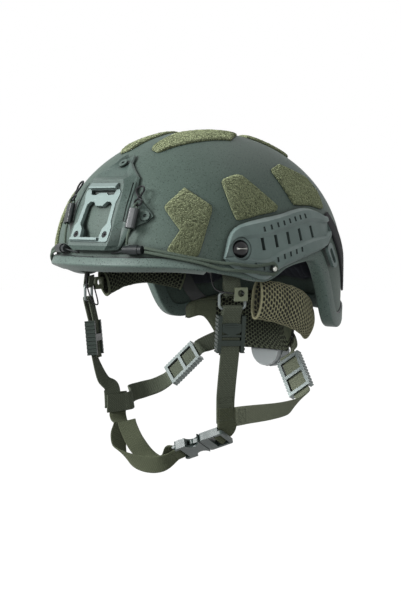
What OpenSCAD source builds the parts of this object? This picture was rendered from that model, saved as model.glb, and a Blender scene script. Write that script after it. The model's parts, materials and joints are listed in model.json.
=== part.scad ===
// High-cut combat helmet with a night-vision shroud, side rails, padded liner,
// dial fit system and four-point chin harness.
// The front faces -Y, the wearer's left is +X and the crown is up.
// The origin is on the head axis at the height of the brim's lower edge.

/* [Shell] */
// Half of the greatest width of the shell
half_w = 118; // [114:1:124]
// Reach of the shell from the head axis to the brow
front_reach = 136; // [132:1:142]
// Reach of the shell from the head axis to the back
rear_reach = 138; // [134:1:144]
// Height of the crown above the brim
crown_h = 124; // [119:1:130]
// Thickness of the shell
wall = 8; // [6.5:0.5:9]
// Height of the widest line above the brim
belt_z = 8; // [8:0.5:10]
// How square the shell is in plan at the belt, 2 is an ellipse
plan_square = 2.4; // [2.2:0.1:2.6]
// How full the dome is, 2 is an ellipse
dome_full = 2.1; // [2:0.05:2.3]
// Outward flare of the brim's lip
lip_flare = 6; // [3:0.5:8]
// Height over which the lip flares
lip_h = 14; // [12:1:18]

/* [Edge trim] */
// Thickness of the rubber trim
trim_t = 1.6; // [1.2:0.1:2]
// Rubber below the edge of the shell
trim_web = 3; // [2:0.5:3.5]
// Cover of the trim up the shell at the brim
trim_leg = 6; // [5:0.5:8]
// Cover of the trim up the shell behind the ears
trim_leg_rear = 10; // [7:0.5:11]

/* [Loop patches] */
// Thickness of the loop pile patches
patch_t = 2.4; // [1.5:0.1:3]

/* [Shroud] */
// Width of the insert at the foot
insert_w = 48; // [46:1:50]
// Width of the insert at the top
insert_top_w = 32; // [30:0.5:34]
// Height of the insert along its slope
insert_h = 56; // [54:1:58]
// Thickness of the insert plate
insert_t = 4; // [3:0.5:5]
// Backward lean of the insert
insert_lean = 24; // [22:0.2:25]
// Distance of the insert's foot in front of the brow
insert_proud = 9; // [8:0.1:10]
// Height of the insert's foot above the brim
insert_z = 22.5; // [22:0.5:24]
// Width of the mounting window
window_w = 34; // [30:1:36]
// Height of the mounting window
window_h = 34; // [30:1:35]
// Thickness of the shroud's arms
arm_t = 3; // [2.5:0.5:4]
// Diameter of the shroud screws' heads
shroud_head_d = 9; // [8:0.5:10]
// Diameter of the screws through the shell
screw_d = 4; // [3.5:0.5:5]

/* [Rails] */
// Thickness of the rail at its two bars
rail_t = 7.4; // [6.5:0.2:8.5]
// Thickness of the rail in its channel
channel_t = 5; // [4.4:0.2:5.6]
// Width of each of the five rail slots
slot_w = 3.4; // [2.6:0.2:3.8]
// Height of each rail slot
slot_h = 11; // [8:0.5:12]
// Diameter of the rail bolt's head
bolt_head_d = 15.6; // [13:0.2:17]
// Diameter of the rail bolt's shank
bolt_d = 6; // [5:0.5:7]

/* [Cords] */
// Diameter of one strand of the bungee
bungee_d = 2.8; // [2.2:0.2:3]
// Diameter of the fit laces
lace_d = 1.4; // [1:0.2:1.8]

/* [Liner] */
// Thickness of the impact pads
pad_t = 18; // [14:1:20]
// Thickness at the rim of an impact pad
pad_edge = 9; // [6:1:11]
// Depth of the sewn channels in the pads
channel_d = 2.5; // [1:0.5:4]

/* [Fit band] */
// Half width of the nape band
nape_w = 80; // [76:1:84]
// Reach of the nape band behind the head axis
nape_reach = 92; // [88:1:96]
// Height of the nape band
nape_h = 58; // [50:1:64]
// Thickness of the nape pad
nape_t = 9; // [6:1:11]
// Diameter of the fit dial
dial_d = 38; // [32:1:42]
// Thickness of the fit dial
dial_t = 11; // [8:1:13]

/* [Harness] */
// Width of the webbing
web_w = 17.5; // [16:0.5:19]
// Thickness of the webbing
web_t = 1.5; // [1.2:0.1:1.8]
// Drop of the strap junction below the brim
junction_drop = 135; // [131:1:139]
// Drop of the chin strap's lowest run below the brim
chin_drop = 185; // [182:1:188]
// Width of the strap hardware
frame_w = 25.5; // [24:0.5:27]
// Length of the front strap's adjuster
adjuster_l = 33; // [30:1:36]
// Length of the rear strap's cam buckle
cam_l = 40; // [37:1:42]
// Thickness of the buckle frames in front of the webbing
frame_t = 2.6; // [2.2:0.1:3]

/* [Chin buckle] */
// Length of the closed buckle
buckle_l = 52; // [50:1:55]
// Width of the buckle
buckle_w = 25; // [23:0.5:27]
// Thickness of the buckle
buckle_t = 8.4; // [8:0.2:10]

/* [Clearances] */
// Gap between pieces that lie on a curved face
skin_gap = 0.35; // [0.3:0.05:0.5]
// Gap between pieces that move or thread
run_gap = 0.3; // [0.25:0.05:0.4]

/* [Hidden] */

SHELL_GREEN = "#4b594e";
LOOP_GREEN = "#67704a";
WEB_GREEN = "#474b3a";
MESH_GREEN = "#6b6a48";
PAD_BLACK = "#15191f";
HARD_BLACK = "#1d1f21";
METAL = "#8c9296";
INSERT_GREEN = "#77857c";
DIAL_GREY = "#b9bfc0";
CLIP_GREEN = "#8a8f70";

// General curves and frames

function unit(v) = v / norm(v);

// Slope of a table of [x, y] points at point i, level at both ends
function knot_slope(t, i) =
  i == 0 || i == len(t) - 1 ? 0 : (t[i + 1][1] - t[i - 1][1]) / (t[i + 1][0] - t[i - 1][0]);

function knot(t, x, i = 0) = i >= len(t) - 2 || x < t[i + 1][0] ? i : knot(t, x, i + 1);

// Smooth cubic through a table of [x, y] points
function smooth_at(t, x) =
  let (
    i = knot(t, x),
    h = t[i + 1][0] - t[i][0],
    u = (x - t[i][0]) / h
  )
  (2 * pow(u, 3) - 3 * u * u + 1) * t[i][1]
  + (pow(u, 3) - 2 * u * u + u) * h * knot_slope(t, i)
  + (3 * u * u - 2 * pow(u, 3)) * t[i + 1][1]
  + (pow(u, 3) - u * u) * h * knot_slope(t, i + 1);

// Catmull-Rom point between p[i] and p[i + 1]
function spline_at(p, i, u) =
  let (
    a = p[max(i - 1, 0)],
    b = p[i],
    c = p[min(i + 1, len(p) - 1)],
    d = p[min(i + 2, len(p) - 1)]
  )
  0.5 * (2 * b + (c - a) * u + (2 * a - 5 * b + 4 * c - d) * u * u + (3 * b - a - 3 * c + d) * pow(u, 3));

// A smooth line with n steps between neighbouring points
function spline(p, n) =
  [for (i = [0 : len(p) - 2]) for (k = [0 : n - 1]) spline_at(p, i, k / n), p[len(p) - 1]];

function tangent(p, i) = unit(p[min(i + 1, len(p) - 1)] - p[max(i - 1, 0)]);

// The part of w that is square to t
function squared(w, t) = unit(w - (w * t) * t);

// Places children at c with local x along l and local z near w
module local_frame(c, l, w) {
  ex = unit(l);
  ez = squared(w, ex);
  ey = cross(ez, ex);
  multmatrix([
    [ex[0], ey[0], ez[0], c[0]],
    [ex[1], ey[1], ez[1], c[1]],
    [ex[2], ey[2], ez[2], c[2]],
    [0, 0, 0, 1]
  ]) children();
}

// Point of a local frame carried to the helmet's frame
function from_local(c, l, w, p) =
  let (
    ex = unit(l),
    ez = squared(w, ex),
    ey = cross(ez, ex)
  )
  c + p[0] * ex + p[1] * ey + p[2] * ez;

// Solids made from rings and grids of points

function flat(rows) = [for (r = rows) each r];

function quad(a, b, c, d) = [[a, b, c], [a, c, d]];

// A closed solid swept through rings that run counter-clockwise about the path
module loft(rings) {
  k = len(rings[0]);
  n = len(rings);
  sides = [
    for (i = [0 : n - 2])
      for (j = [0 : k - 1])
        each quad(i * k + j, (i + 1) * k + j, (i + 1) * k + (j + 1) % k, i * k + (j + 1) % k)
  ];
  caps = [
    for (j = [1 : k - 2]) [0, j, j + 1],
    for (j = [1 : k - 2]) [(n - 1) * k, (n - 1) * k + j + 1, (n - 1) * k + j]
  ];
  polyhedron(points = flat(rings), faces = concat(sides, caps), convexity = 10);
}

// A closed loop of rings with no ends
module loop_loft(rings) {
  k = len(rings[0]);
  n = len(rings);
  sides = [
    for (i = [0 : n - 1])
      for (j = [0 : k - 1])
        each quad(i * k + j, ((i + 1) % n) * k + j, ((i + 1) % n) * k + (j + 1) % k, i * k + (j + 1) % k)
  ];
  polyhedron(points = flat(rings), faces = sides, convexity = 10);
}

// A plate between two grids with the same rows and columns, the outer grid seen
// from outside with rows going up and columns going right
module slab(outer, inner) {
  r = len(outer);
  c = len(outer[0]);
  m = r * c;
  faces = [
    for (i = [0 : r - 2])
      for (j = [0 : c - 2])
        each quad(i * c + j, (i + 1) * c + j, (i + 1) * c + j + 1, i * c + j + 1),
    for (i = [0 : r - 2])
      for (j = [0 : c - 2])
        each quad(m + i * c + j, m + i * c + j + 1, m + (i + 1) * c + j + 1, m + (i + 1) * c + j),
    for (j = [0 : c - 2]) each quad(j, j + 1, m + j + 1, m + j),
    for (j = [0 : c - 2])
      each quad((r - 1) * c + j + 1, (r - 1) * c + j, m + (r - 1) * c + j, m + (r - 1) * c + j + 1),
    for (i = [0 : r - 2]) each quad((i + 1) * c, i * c, m + i * c, m + (i + 1) * c),
    for (i = [0 : r - 2])
      each quad(i * c + c - 1, (i + 1) * c + c - 1, m + (i + 1) * c + c - 1, m + i * c + c - 1)
  ];
  polyhedron(points = concat(flat(outer), flat(inner)), faces = faces, convexity = 10);
}

// A round cord along points
module tube(p, d, sides = 8) {
  hint = [0.31, 0.17, 0.94];
  rings = [
    for (i = [0 : len(p) - 1])
      let (
        t = tangent(p, i),
        u = squared(hint, t),
        v = cross(t, u)
      )
      [for (k = [0 : sides - 1]) p[i] + d / 2 * (cos(360 * k / sides) * u + sin(360 * k / sides) * v)]
  ];
  loft(rings);
}

// Webbing along keys of [point, direction of its width]
module ribbon(keys, w, t, n = 3) {
  p = spline([for (k = keys) k[0]], n);
  q = spline([for (k = keys) k[1]], n);
  rings = [
    for (i = [0 : len(p) - 1])
      let (
        along = tangent(p, i),
        side = squared(q[i], along),
        face = cross(along, side)
      )
      [
        p[i] + w / 2 * side - t / 2 * face,
        p[i] + w / 2 * side + t / 2 * face,
        p[i] - w / 2 * side + t / 2 * face,
        p[i] - w / 2 * side - t / 2 * face
      ]
  ];
  loft(rings);
}

// Mirrors a left piece to the right side
module right() {
  mirror([1, 0, 0]) children();
}

// The shell's outer surface. a is the bearing from the front towards the wearer's
// left. v is the height in mm from the belt where it is below the belt, and an
// angle from 0 at the belt to 90 at the crown above it.

function v_of(z) =
  z < belt_z ? z - belt_z : asin(pow((z - belt_z) / (crown_h - belt_z), dome_full / 2));

function z_of(v) = v < 0 ? belt_z + v : belt_z + (crown_h - belt_z) * pow(sin(v), 2 / dome_full);

function around(a) = a > 180 ? a - 360 : a < -180 ? a + 360 : a;

// Radius in plan at bearing a for a superellipse of power p
function plan_r(a, p) =
  pow(
    pow(abs(sin(a)) / half_w, p) + pow(abs(cos(a)) / (cos(a) > 0 ? front_reach : rear_reach), p),
    -1 / p
  );

lip_spread = 51.6;
tuck = 0.01;
tuck_h = 70;

function skin_r(a, v) =
  let (
    z = z_of(v),
    rise = v <= 0 ? 0 : (z - belt_z) / (crown_h - belt_z),
    shrink = v <= 0 ? 1 - tuck * pow((belt_z - z) / tuck_h, 2) : pow(cos(v), 2 / dome_full),
    lip = lip_flare * exp(-pow(around(a) / lip_spread, 2)) * pow(min(1, max(0, 1 - z / lip_h)), 2)
  )
  plan_r(a, plan_square - (plan_square - 2) * rise) * shrink + lip;

function skin_point(a, v) =
  let (r = skin_r(a, v))
  [r * sin(a), -r * cos(a), z_of(v)];

function skin_normal(a, v) =
  v > 89
    ? [0, 0, 1]
    : unit(cross(
        skin_point(a + 0.2, v) - skin_point(a - 0.2, v),
        skin_point(a, v + 0.05) - skin_point(a, v - 0.05)
      ));

// Point on the surface pushed outward by off
function skin(a, v, off = 0) = skin_point(a, v) + (off == 0 ? [0, 0, 0] : off * skin_normal(a, v));

// The same, by height z
function skin_z(a, z, off = 0) = skin(a, v_of(z), off);

// The same, by plan position, for the crown. v is found in a few rounds.
function crown_v(a, r, v = 60, n = 8) =
  n == 0
    ? v
    : crown_v(a, r, acos(min(1, pow(r / (skin_r(a, v) / pow(cos(v), 2 / dome_full)), dome_full / 2))), n - 1);

function skin_xy(x, y, off = 0) =
  let (
    a = atan2(x, -y),
    r = norm([x, y])
  )
  r < 2 ? [x, y, crown_h + off] : skin(a, crown_v(a, r), off);

// Height of the shell's edge at bearing a
EDGE = [
  [0, 3], [30, 3], [44, 0.5], [57, -4.5], [64.5, -8.5], [70, -9.5], [75.5, -5.5], [81, 0.8],
  [88, 4.6], [94, 6.4], [99, 7.6], [103.2, 5.5], [107, -4], [112, -24], [116, -42],
  [120, -53], [125.5, -57], [132, -55], [142, -48.5], [158, -44.5], [180, -43.5]
];

function edge_z(a) = smooth_at(EDGE, abs(around(a)));

HALF_BEARINGS = [
  for (a = [0 : 7.5 : 37.5]) a, 41, 45, 48.5, 52, 56, 60, 64, 67, 70, 73, 76, 80, 84, 88, 92, 96, 99,
  101.5, 103.5, 105.5, 107.5, 109.5, 112, 114, 116, 118, 120, 122.5, 125.5, 129, 134, 139, 145, 151,
  157, 163, 169, 175
];
BEARINGS = concat(
  HALF_BEARINGS,
  [180],
  [for (i = [len(HALF_BEARINGS) - 1 : -1 : 1]) 360 - HALF_BEARINGS[i]]
);
DOME_ROWS = [3, 8, 16, 24, 32, 41, 50, 59, 68, 77, 84];
SKIRT_STEPS = 3;

// Rows of v from the edge to the dome at bearing a
function column_v(a) = concat(
  [for (k = [0 : SKIRT_STEPS - 1]) let (e = v_of(edge_z(a))) e + (DOME_ROWS[0] - e) * k / SKIRT_STEPS],
  DOME_ROWS
);

module shell_solid() {
  c = len(BEARINGS);
  columns = [for (a = BEARINGS) column_v(a)];
  r = len(columns[0]);
  outer = [for (i = [0 : r - 1]) for (j = [0 : c - 1]) skin(BEARINGS[j], columns[j][i])];
  inner = [for (i = [0 : r - 1]) for (j = [0 : c - 1]) skin(BEARINGS[j], columns[j][i], -wall)];
  m = r * c;
  apex = 2 * m;
  faces = [
    for (i = [0 : r - 2])
      for (j = [0 : c - 1])
        each quad(i * c + j, (i + 1) * c + j, (i + 1) * c + (j + 1) % c, i * c + (j + 1) % c),
    for (i = [0 : r - 2])
      for (j = [0 : c - 1])
        each quad(m + i * c + j, m + i * c + (j + 1) % c, m + (i + 1) * c + (j + 1) % c, m + (i + 1) * c + j),
    for (j = [0 : c - 1]) each quad(j, (j + 1) % c, m + (j + 1) % c, m + j),
    for (j = [0 : c - 1]) [(r - 1) * c + j, apex, (r - 1) * c + (j + 1) % c],
    for (j = [0 : c - 1]) [m + (r - 1) * c + (j + 1) % c, apex + 1, m + (r - 1) * c + j]
  ];
  points = concat(outer, inner, [[0, 0, crown_h], [0, 0, crown_h - wall]]);
  polyhedron(points = points, faces = faces, convexity = 10);
}

// Axis of a screw that enters the shell square at bearing a and height z
module at_skin(a, z, off = 0) {
  n = skin_normal(a, v_of(z));
  local_frame(skin_z(a, z, off), n, [0, 0, 1]) children();
}

// A bore or shank along the local x axis from x0 to x1
module rod(d, x0, x1) {
  translate([x0, 0, 0]) rotate([0, 90, 0]) cylinder(d = d, h = x1 - x0, $fn = 48);
}

// Seats of the screws as [bearing, height]
SHROUD_SCREWS = [[0, 90], [22, 44], [-22, 44]];
RAIL_BOLT = [58, 16.2];

module shell() {
  color(SHELL_GREEN)
  difference() {
    shell_solid();
    for (s = SHROUD_SCREWS) at_skin(s[0], s[1]) rod(screw_d + 2 * run_gap, -2 * wall, wall);
    for (side = [-1, 1])
      at_skin(side * RAIL_BOLT[0], RAIL_BOLT[1]) rod(bolt_d + 2 * run_gap, -2 * wall, wall);
  }
}

// The trim's leg grows behind the ears
function leg(a) =
  let (back = min(1, max(0, (abs(around(a)) - 84) / 16)))
  trim_leg + (trim_leg_rear - trim_leg) * back;

// Steps up the surface, square to the edge, by u
function off_edge(a, u, off) =
  let (
    da = 0.5,
    p = skin_z(a - da, edge_z(a - da)),
    q = skin_z(a + da, edge_z(a + da)),
    t = unit(q - p),
    n = skin_normal(a, v_of(edge_z(a))),
    up = cross(n, t),
    r = skin_r(a, v_of(edge_z(a))),
    east = [cos(a), sin(a), 0]
  )
  u < 0
    ? skin_z(a, edge_z(a), off) + u * up
    : skin_z(a + (up * east) * u / r * 180 / PI, edge_z(a) + up[2] * u, off);

// Room for the adhesive on the shell's faces and under its edge
trim_gap = 0.5;
trim_seat = 1.4;

module edge_trim() {
  o = trim_gap + trim_t;
  i = wall + trim_gap + trim_t;
  rings = [
    for (a = BEARINGS)
      let (h = leg(a))
      [
        off_edge(a, -trim_web + 2, o),
        off_edge(a, -trim_web, o - 2.5),
        off_edge(a, -trim_web, -i + 2.5),
        off_edge(a, -trim_web + 2, -i),
        off_edge(a, h, -i),
        off_edge(a, h, -wall - trim_gap),
        off_edge(a, -trim_seat, -wall - trim_gap),
        off_edge(a, -trim_seat, trim_gap),
        off_edge(a, h, trim_gap),
        off_edge(a, h, o)
      ]
  ];
  color(SHELL_GREEN) loop_loft(rings);
}

// Loop pile patches. A net is rows of [bearing, height], or of [x, y] on the crown.

// Splits each cell of a net of points into k by k cells
function refine(net, k) =
  let (
    r = len(net) - 1,
    c = len(net[0]) - 1
  )
  [
    for (i = [0 : r * k])
      [
        for (j = [0 : c * k])
          let (
            i0 = min(floor(i / k), r - 1),
            j0 = min(floor(j / k), c - 1),
            u = i / k - i0,
            s = j / k - j0
          )
          (1 - u) * ((1 - s) * net[i0][j0] + s * net[i0][j0 + 1])
          + u * ((1 - s) * net[i0 + 1][j0] + s * net[i0 + 1][j0 + 1])
      ]
  ];

function on_wall(net, off) = [for (r = net) [for (p = r) skin_z(p[0], p[1], off)]];

function on_crown(net, off) = [for (r = net) [for (p = r) skin_xy(p[0], p[1], off)]];

module wall_patch(net, k = 2) {
  fine = refine(net, k);
  color(LOOP_GREEN) slab(on_wall(fine, skin_gap + patch_t), on_wall(fine, skin_gap));
}

module crown_patch(net, k = 3) {
  fine = refine(net, k);
  color(LOOP_GREEN) slab(on_crown(fine, skin_gap + patch_t), on_crown(fine, skin_gap));
}

PATCH_FRONT = [
  [[30.3, 14.5], [36.4, 11.8], [42.2, 9.2]],
  [[35.4, 32.5], [40.4, 33], [45.2, 33]],
  [[31.4, 44], [38.8, 50], [47.2, 46.5]],
  [[28.2, 52.5], [36, 69], [48, 53]]
];
PATCH_MIDDLE = [
  [[57.6, 40.2], [68, 45], [79.3, 48.8]],
  [[55.4, 54], [67, 57], [80.8, 53]],
  [[52.5, 75.5], [57.5, 79], [63.5, 81.5]]
];
PATCH_REAR = [
  [[92.2, 54], [105, 54], [117.5, 50]],
  [[89.8, 68], [105, 71], [121, 66]],
  [[86.5, 86], [99, 91], [119, 79.2]]
];
PATCH_TOP = [
  [[12.5, -79], [19, -80.5], [25, -81.6]],
  [[9, -44], [26, -46], [41, -47]],
  [[21, -8], [37, -11], [52, -14.4]],
  [[30, 10], [33, 13], [37, 10]]
];
PATCH_CROWN = [
  [[12, 38], [25, 31], [37, 23]],
  [[19, 62], [34, 54], [48, 44]],
  [[27, 84], [42, 75], [56, 62]]
];
PATCH_BACK = [
  [[160, 14], [180, 10], [200, 14]],
  [[151, 42], [180, 42], [209, 42]],
  [[160, 66], [180, 72], [200, 66]]
];

module patch_front_left() { wall_patch(PATCH_FRONT); }
module patch_front_right() { right() patch_front_left(); }
module patch_middle_left() { wall_patch(PATCH_MIDDLE, 3); }
module patch_middle_right() { right() patch_middle_left(); }
module patch_rear_left() { wall_patch(PATCH_REAR, 3); }
module patch_rear_right() { right() patch_rear_left(); }
module patch_top_left() { crown_patch(PATCH_TOP, 3); }
module patch_top_right() { right() patch_top_left(); }
module patch_crown_left() { crown_patch(PATCH_CROWN, 3); }
module patch_crown_right() { right() patch_crown_left(); }
module patch_back() { wall_patch(PATCH_BACK, 4); }

// The shroud. Its frame has x across, z up its slope from the insert's foot and
// -y out towards the viewer in front.

// y of the insert's foot: proud of the brim, its back clear of the shell all the way up
insert_back_room = 0.2;
insert_foot_y = -max([
  front_reach + insert_proud,
  for (h = [0 : insert_h / 8 : insert_h])
    let (z = insert_z - insert_t * sin(insert_lean) + h * cos(insert_lean))
    insert_back_room + insert_t * cos(insert_lean) + h * sin(insert_lean) - skin_z(0, z)[1]
]);

module shroud_frame() {
  translate([0, insert_foot_y, insert_z]) rotate([-insert_lean, 0, 0]) children();
}

function shroud_local(p) =
  let (
    c = cos(insert_lean),
    s = sin(insert_lean)
  )
  [p[0], insert_foot_y + c * p[1] + s * p[2], insert_z - s * p[1] + c * p[2]];

// Rows of the base as [height, half width of the block, foot of its flank, outer edge]
BASE_ROWS = [
  [15, 20, 26, 28.5], [19, 25, 29, 32], [26, 25.8, 30.5, 35], [34, 25.6, 31, 40], [39, 25.2, 31, 51],
  [44, 24.6, 31, 55.5], [49, 24.4, 30.5, 51], [56, 24.2, 30, 42], [64, 24, 29, 34],
  [72, 22.6, 27, 31], [77, 19.5, 25, 29], [80, 16, 22, 25], [85, 9, 14, 18], [90, 6, 8.5, 11],
  [95, 4.5, 6.5, 8.5], [97.5, 2.5, 3.5, 4.5]
];

// Plate behind the insert: y of its front face in plan at height z
function block_y(z) =
  insert_foot_y + block_set + (z - insert_z) * tan(insert_lean);

// Bearing of the surface point with plan x at height z
function bearing_x(x, z, n = 5, r = 0) =
  let (rr = r == 0 ? front_reach : r)
  n == 0
    ? asin(max(-1, min(1, x / rr)))
    : bearing_x(x, z, n - 1, skin_r(asin(max(-1, min(1, x / rr))), v_of(z)));

function base_back(x, z) = skin_z(bearing_x(x, z), z, skin_gap);

function base_plate(x, z, t) = skin_z(bearing_x(x, z), z, skin_gap + t);

// Front of the block, never thinner than the arms
function block_front(x, z) =
  let (
    plate = base_plate(x, z, arm_t * 0.6),
    lead = z < 19 ? (19 - z) * 0.9 : 0,
    top = z > 77 ? (z - 77) * 2.6 : 0
  )
  [x, min(plate[1], block_y(z) + lead + top), z];

module base_solid() {
  front = [
    for (r = BASE_ROWS)
      let (z = r[0], b = r[1], f = r[2], e = r[3])
      [
        base_plate(-e, z, arm_t * 0.6), base_plate(-(e + f) / 2, z, arm_t), base_plate(-f, z, arm_t),
        block_front(-b, z), block_front(-b / 2, z), block_front(0, z), block_front(b / 2, z),
        block_front(b, z), base_plate(f, z, arm_t), base_plate((e + f) / 2, z, arm_t),
        base_plate(e, z, arm_t * 0.6)
      ]
  ];
  back = [
    for (r = BASE_ROWS)
      let (z = r[0], b = r[1], f = r[2], e = r[3])
      [
        for (x = [-e, -(e + f) / 2, -f, -b, -b / 2, 0, b / 2, b, f, (e + f) / 2, e]) base_back(x, z)
      ]
  ];
  slab(front, back);
}

window_z = 4.2;
window_reach = 60;

// Mounting window with its notches, cut along local y
module window_cut(margin, y0, y1) {
  h = window_h;
  w = window_w / 2;
  translate([0, y1, window_z])
  rotate([90, 0, 0])
  linear_extrude(height = y1 - y0)
  polygon([
    [-w + 5 - margin, -margin], [w - 5 + margin, -margin], [w - 4 + margin, 8], [w + margin, 13],
    [w - 1 + margin, h - 3], [w - 4, h + margin], [8, h + margin], [4.5, h - 4 + margin],
    [-4.5, h - 4 + margin], [-8, h + margin], [-w + 4, h + margin], [-w + 1 - margin, h - 3],
    [-w - margin, 13], [-w + 4 - margin, 8]
  ]);
}

insert_screw_x = 18.2;
insert_screw_z = 7;
// Draw-in of the insert's sides above the screws, and of its shoulders
insert_waist = 2.6;
insert_shoulder = 2.2;
insert_seat_gap = 0.05;
// Base's front behind the insert's face
block_set = 0.6;
// Ends of the groove and rib on each flank, as heights above the brim
flank_low = 39;
flank_high = 72;
groove_d = 1.6;
rib_d = 2.2;
insert_screw_d = 3;
insert_head_d = 5.4;

// Half of the insert's outline, as [x, z] in its own frame
function insert_half(b, t, h) = [
  [b - 1.5, 0], [b, 1.5], [b, h * 0.26], [b - insert_waist, h * 0.33], [b - insert_waist - 1.5, h * 0.66],
  [b - insert_shoulder, h * 0.79], [b - insert_shoulder, h * 0.86], [t + 3, h * 0.9], [t, h]
];

// Outline of the insert, widened by a margin
module insert_outline(margin = 0) {
  half = insert_half(insert_w / 2 + margin, insert_top_w / 2 + margin, insert_h + margin);
  n = len(half) - 1;
  polygon([
    for (p = half) p[1] == 0 ? [p[0], -margin] : p,
    for (i = [0 : n]) let (p = half[n - i]) [-p[0], p[1] == 0 ? -margin : p[1]]
  ]);
}

// Line down a flank of the block, at a distance outside its foot
function flank_line(side, off) = [
  for (r = BASE_ROWS) if (r[0] >= flank_low && r[0] <= flank_high)
    base_plate(side * (r[2] + off), r[0], arm_t)
];

module shroud_base() {
  color(SHELL_GREEN)
  difference() {
    union() {
      base_solid();
      for (side = [-1, 1]) tube(flank_line(side, groove_d / 2 + rib_d / 2), rib_d);
    }
    for (side = [-1, 1]) tube(flank_line(side, 0), groove_d);
    for (s = SHROUD_SCREWS) {
      at_skin(s[0], s[1]) rod(screw_d + 2 * run_gap, -1, 3 * arm_t);
      at_skin(s[0], s[1]) rod(shroud_head_d + 1, skin_gap + arm_t * 0.45, 4 * arm_t);
    }
    shroud_frame() {
      // Seat of the insert
      translate([0, insert_t - run_gap + insert_seat_gap, 0])
      rotate([90, 0, 0])
      linear_extrude(height = 20)
      insert_outline(run_gap);
      window_cut(0.6, insert_t - 1, window_reach);
      for (side = [-1, 1])
        translate([side * insert_screw_x, insert_t - 1, insert_screw_z])
        rotate([-90, 0, 0]) cylinder(d = insert_screw_d + 2 * run_gap, h = 9, $fn = 32);
    }
  }
}

// Machined plate with a catch bar at the top and a ledge at the foot
module shroud_insert() {
  b = insert_w / 2;
  t = insert_top_w / 2;
  h = insert_h;
  color(INSERT_GREEN)
  shroud_frame()
  difference() {
    union() {
      translate([0, insert_t - run_gap, 0])
      rotate([90, 0, 0])
      linear_extrude(height = insert_t - run_gap)
      insert_outline();
      // Ledge at the foot
      translate([-b + 1.5, 0, 0])
      rotate([90, 0, 90])
      linear_extrude(height = 2 * b - 13.5)
      polygon([[0.5, 0.2], [0.5, 3.7], [-2.2, 3.1], [-2.2, 0.9]]);
      // Catch bar at the top
      translate([-t - 1, 0, h - 6.4])
      rotate([90, 0, 90])
      linear_extrude(height = 2 * t + 2)
      polygon([[0.5, 0], [-3.2, 0.4], [-3.6, 1.6], [-1.4, 6], [0.5, 6.2]]);
    }
    window_cut(0, -8, insert_t + 4);
    // Notch under the catch bar
    translate([0, insert_t + 1, h - 11.5])
    rotate([90, 0, 0])
    linear_extrude(height = insert_t + 4)
    polygon([
      [-14.3, 0.4], [-7.6, 0], [-4.6, 2.2], [4.6, 2.2], [7.6, 0], [14.3, 0.4], [16.2, 5], [-16.2, 5]
    ]);
    for (side = [-1, 1])
      translate([side * insert_screw_x, -9, insert_screw_z])
      rotate([-90, 0, 0]) {
        cylinder(d = insert_screw_d + 2 * run_gap, h = 20, $fn = 32);
        cylinder(d = insert_head_d + 2 * run_gap, h = 9 + insert_t * 0.4, $fn = 32);
      }
  }
}

module insert_screws() {
  color(HARD_BLACK)
  shroud_frame()
  for (side = [-1, 1])
    translate([side * insert_screw_x, insert_t * 0.4 - 1.6 + run_gap, insert_screw_z])
    rotate([-90, 0, 0])
    difference() {
      union() {
        cylinder(d = insert_head_d, h = 1.3, $fn = 40);
        cylinder(d = insert_screw_d, h = 7, $fn = 32);
      }
      translate([0, 0, -0.01]) cylinder(d = 2.2, h = 0.9, $fn = 6);
    }
}

// Screws through the shell with their nuts inside
module shroud_screws() {
  color(SHELL_GREEN)
  for (s = SHROUD_SCREWS)
    at_skin(s[0], s[1]) {
      difference() {
        union() {
          rod(shroud_head_d, skin_gap + arm_t * 0.45 + run_gap, arm_t + 0.5);
          rod(screw_d, -wall - 1, arm_t);
        }
        rod(3, arm_t - 0.8, arm_t + 2);
      }
      difference() {
        rod(12, -wall - 2.4, -wall - 0.9);
        rod(screw_d + 0.04, -wall - 4, -wall);
      }
    }
}

// Side rails. The outline is the height of the top and the foot by bearing.
RAIL_TOP = [
  [51.5, 9], [52.5, 18.5], [53.6, 26.8], [55.5, 32.8], [58.5, 36.6], [67, 41], [78.5, 44.8],
  [89.5, 49.2], [97.5, 50.8], [105, 48.5], [112.5, 43.2]
];
RAIL_FOOT = [
  [51.5, 7.5], [53, 2.6], [58, -3], [67, -10.4], [71, -9.4], [76, -2.5], [82, 1.6], [96, 9.2],
  [104, 13.4], [108.5, 16], [112.5, 24]
];
RAIL_STATIONS = [
  51.5, 52.3, 53.3, 54.5, 56, 58, 60.5, 63.5, 66.5, 69, 71, 73, 75.5, 78.5, 82, 86, 90, 94, 98,
  102, 105.5, 108.5, 110.7, 112.5
];
RAIL_SLOTS = [[68, 20], [75, 22.3], [82.2, 24.8], [90, 27.5], [98.4, 29.8]];
RAIL_NOTCHES = 8;
notch_pitch = 3.7;
notch_w = 2.3;
notch_h = 4.4;
notch_d = 1.5;
// Rows of notches as [part of the rail's height, bearing of the first]
NOTCH_ROWS = [[0.81, 68.4], [0.2, 63.4]];
rail_slope = 9;
rail_gap = skin_gap + 0.15;
rail_on_trim = trim_gap + trim_t + skin_gap;
bolt_recess_d = bolt_head_d + 5;
bolt_seat = 3.6;

// Parts of the rail's height where its face changes, with the face's offset there
function rail_face() = [
  [1, rail_t * 0.5], [0.93, rail_t * 0.95], [0.87, rail_t], [0.75, rail_t], [0.69, channel_t],
  [0.33, channel_t], [0.27, rail_t], [0.13, rail_t], [0.06, rail_t * 0.93], [0, rail_t * 0.5]
];

module rail_solid() {
  rings = [
    for (a = RAIL_STATIONS)
      let (
        top = smooth_at(RAIL_TOP, a),
        foot = smooth_at(RAIL_FOOT, a),
        h = top - foot,
        step = min(max(edge_z(a) + leg(a) + 1.5, foot + 0.1 * h), top - 0.5 * h)
      )
      [
        for (f = rail_face()) skin_z(a, foot + f[0] * h, max(f[1], rail_on_trim + 1)),
        skin_z(a, foot, rail_on_trim),
        skin_z(a, step, rail_on_trim),
        for (f = [0 : 3])
          let (low = step + 0.1 * h)
          skin_z(a, low + (top - low) * f / 3, rail_gap)
      ]
  ];
  loft(rings);
}

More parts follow.
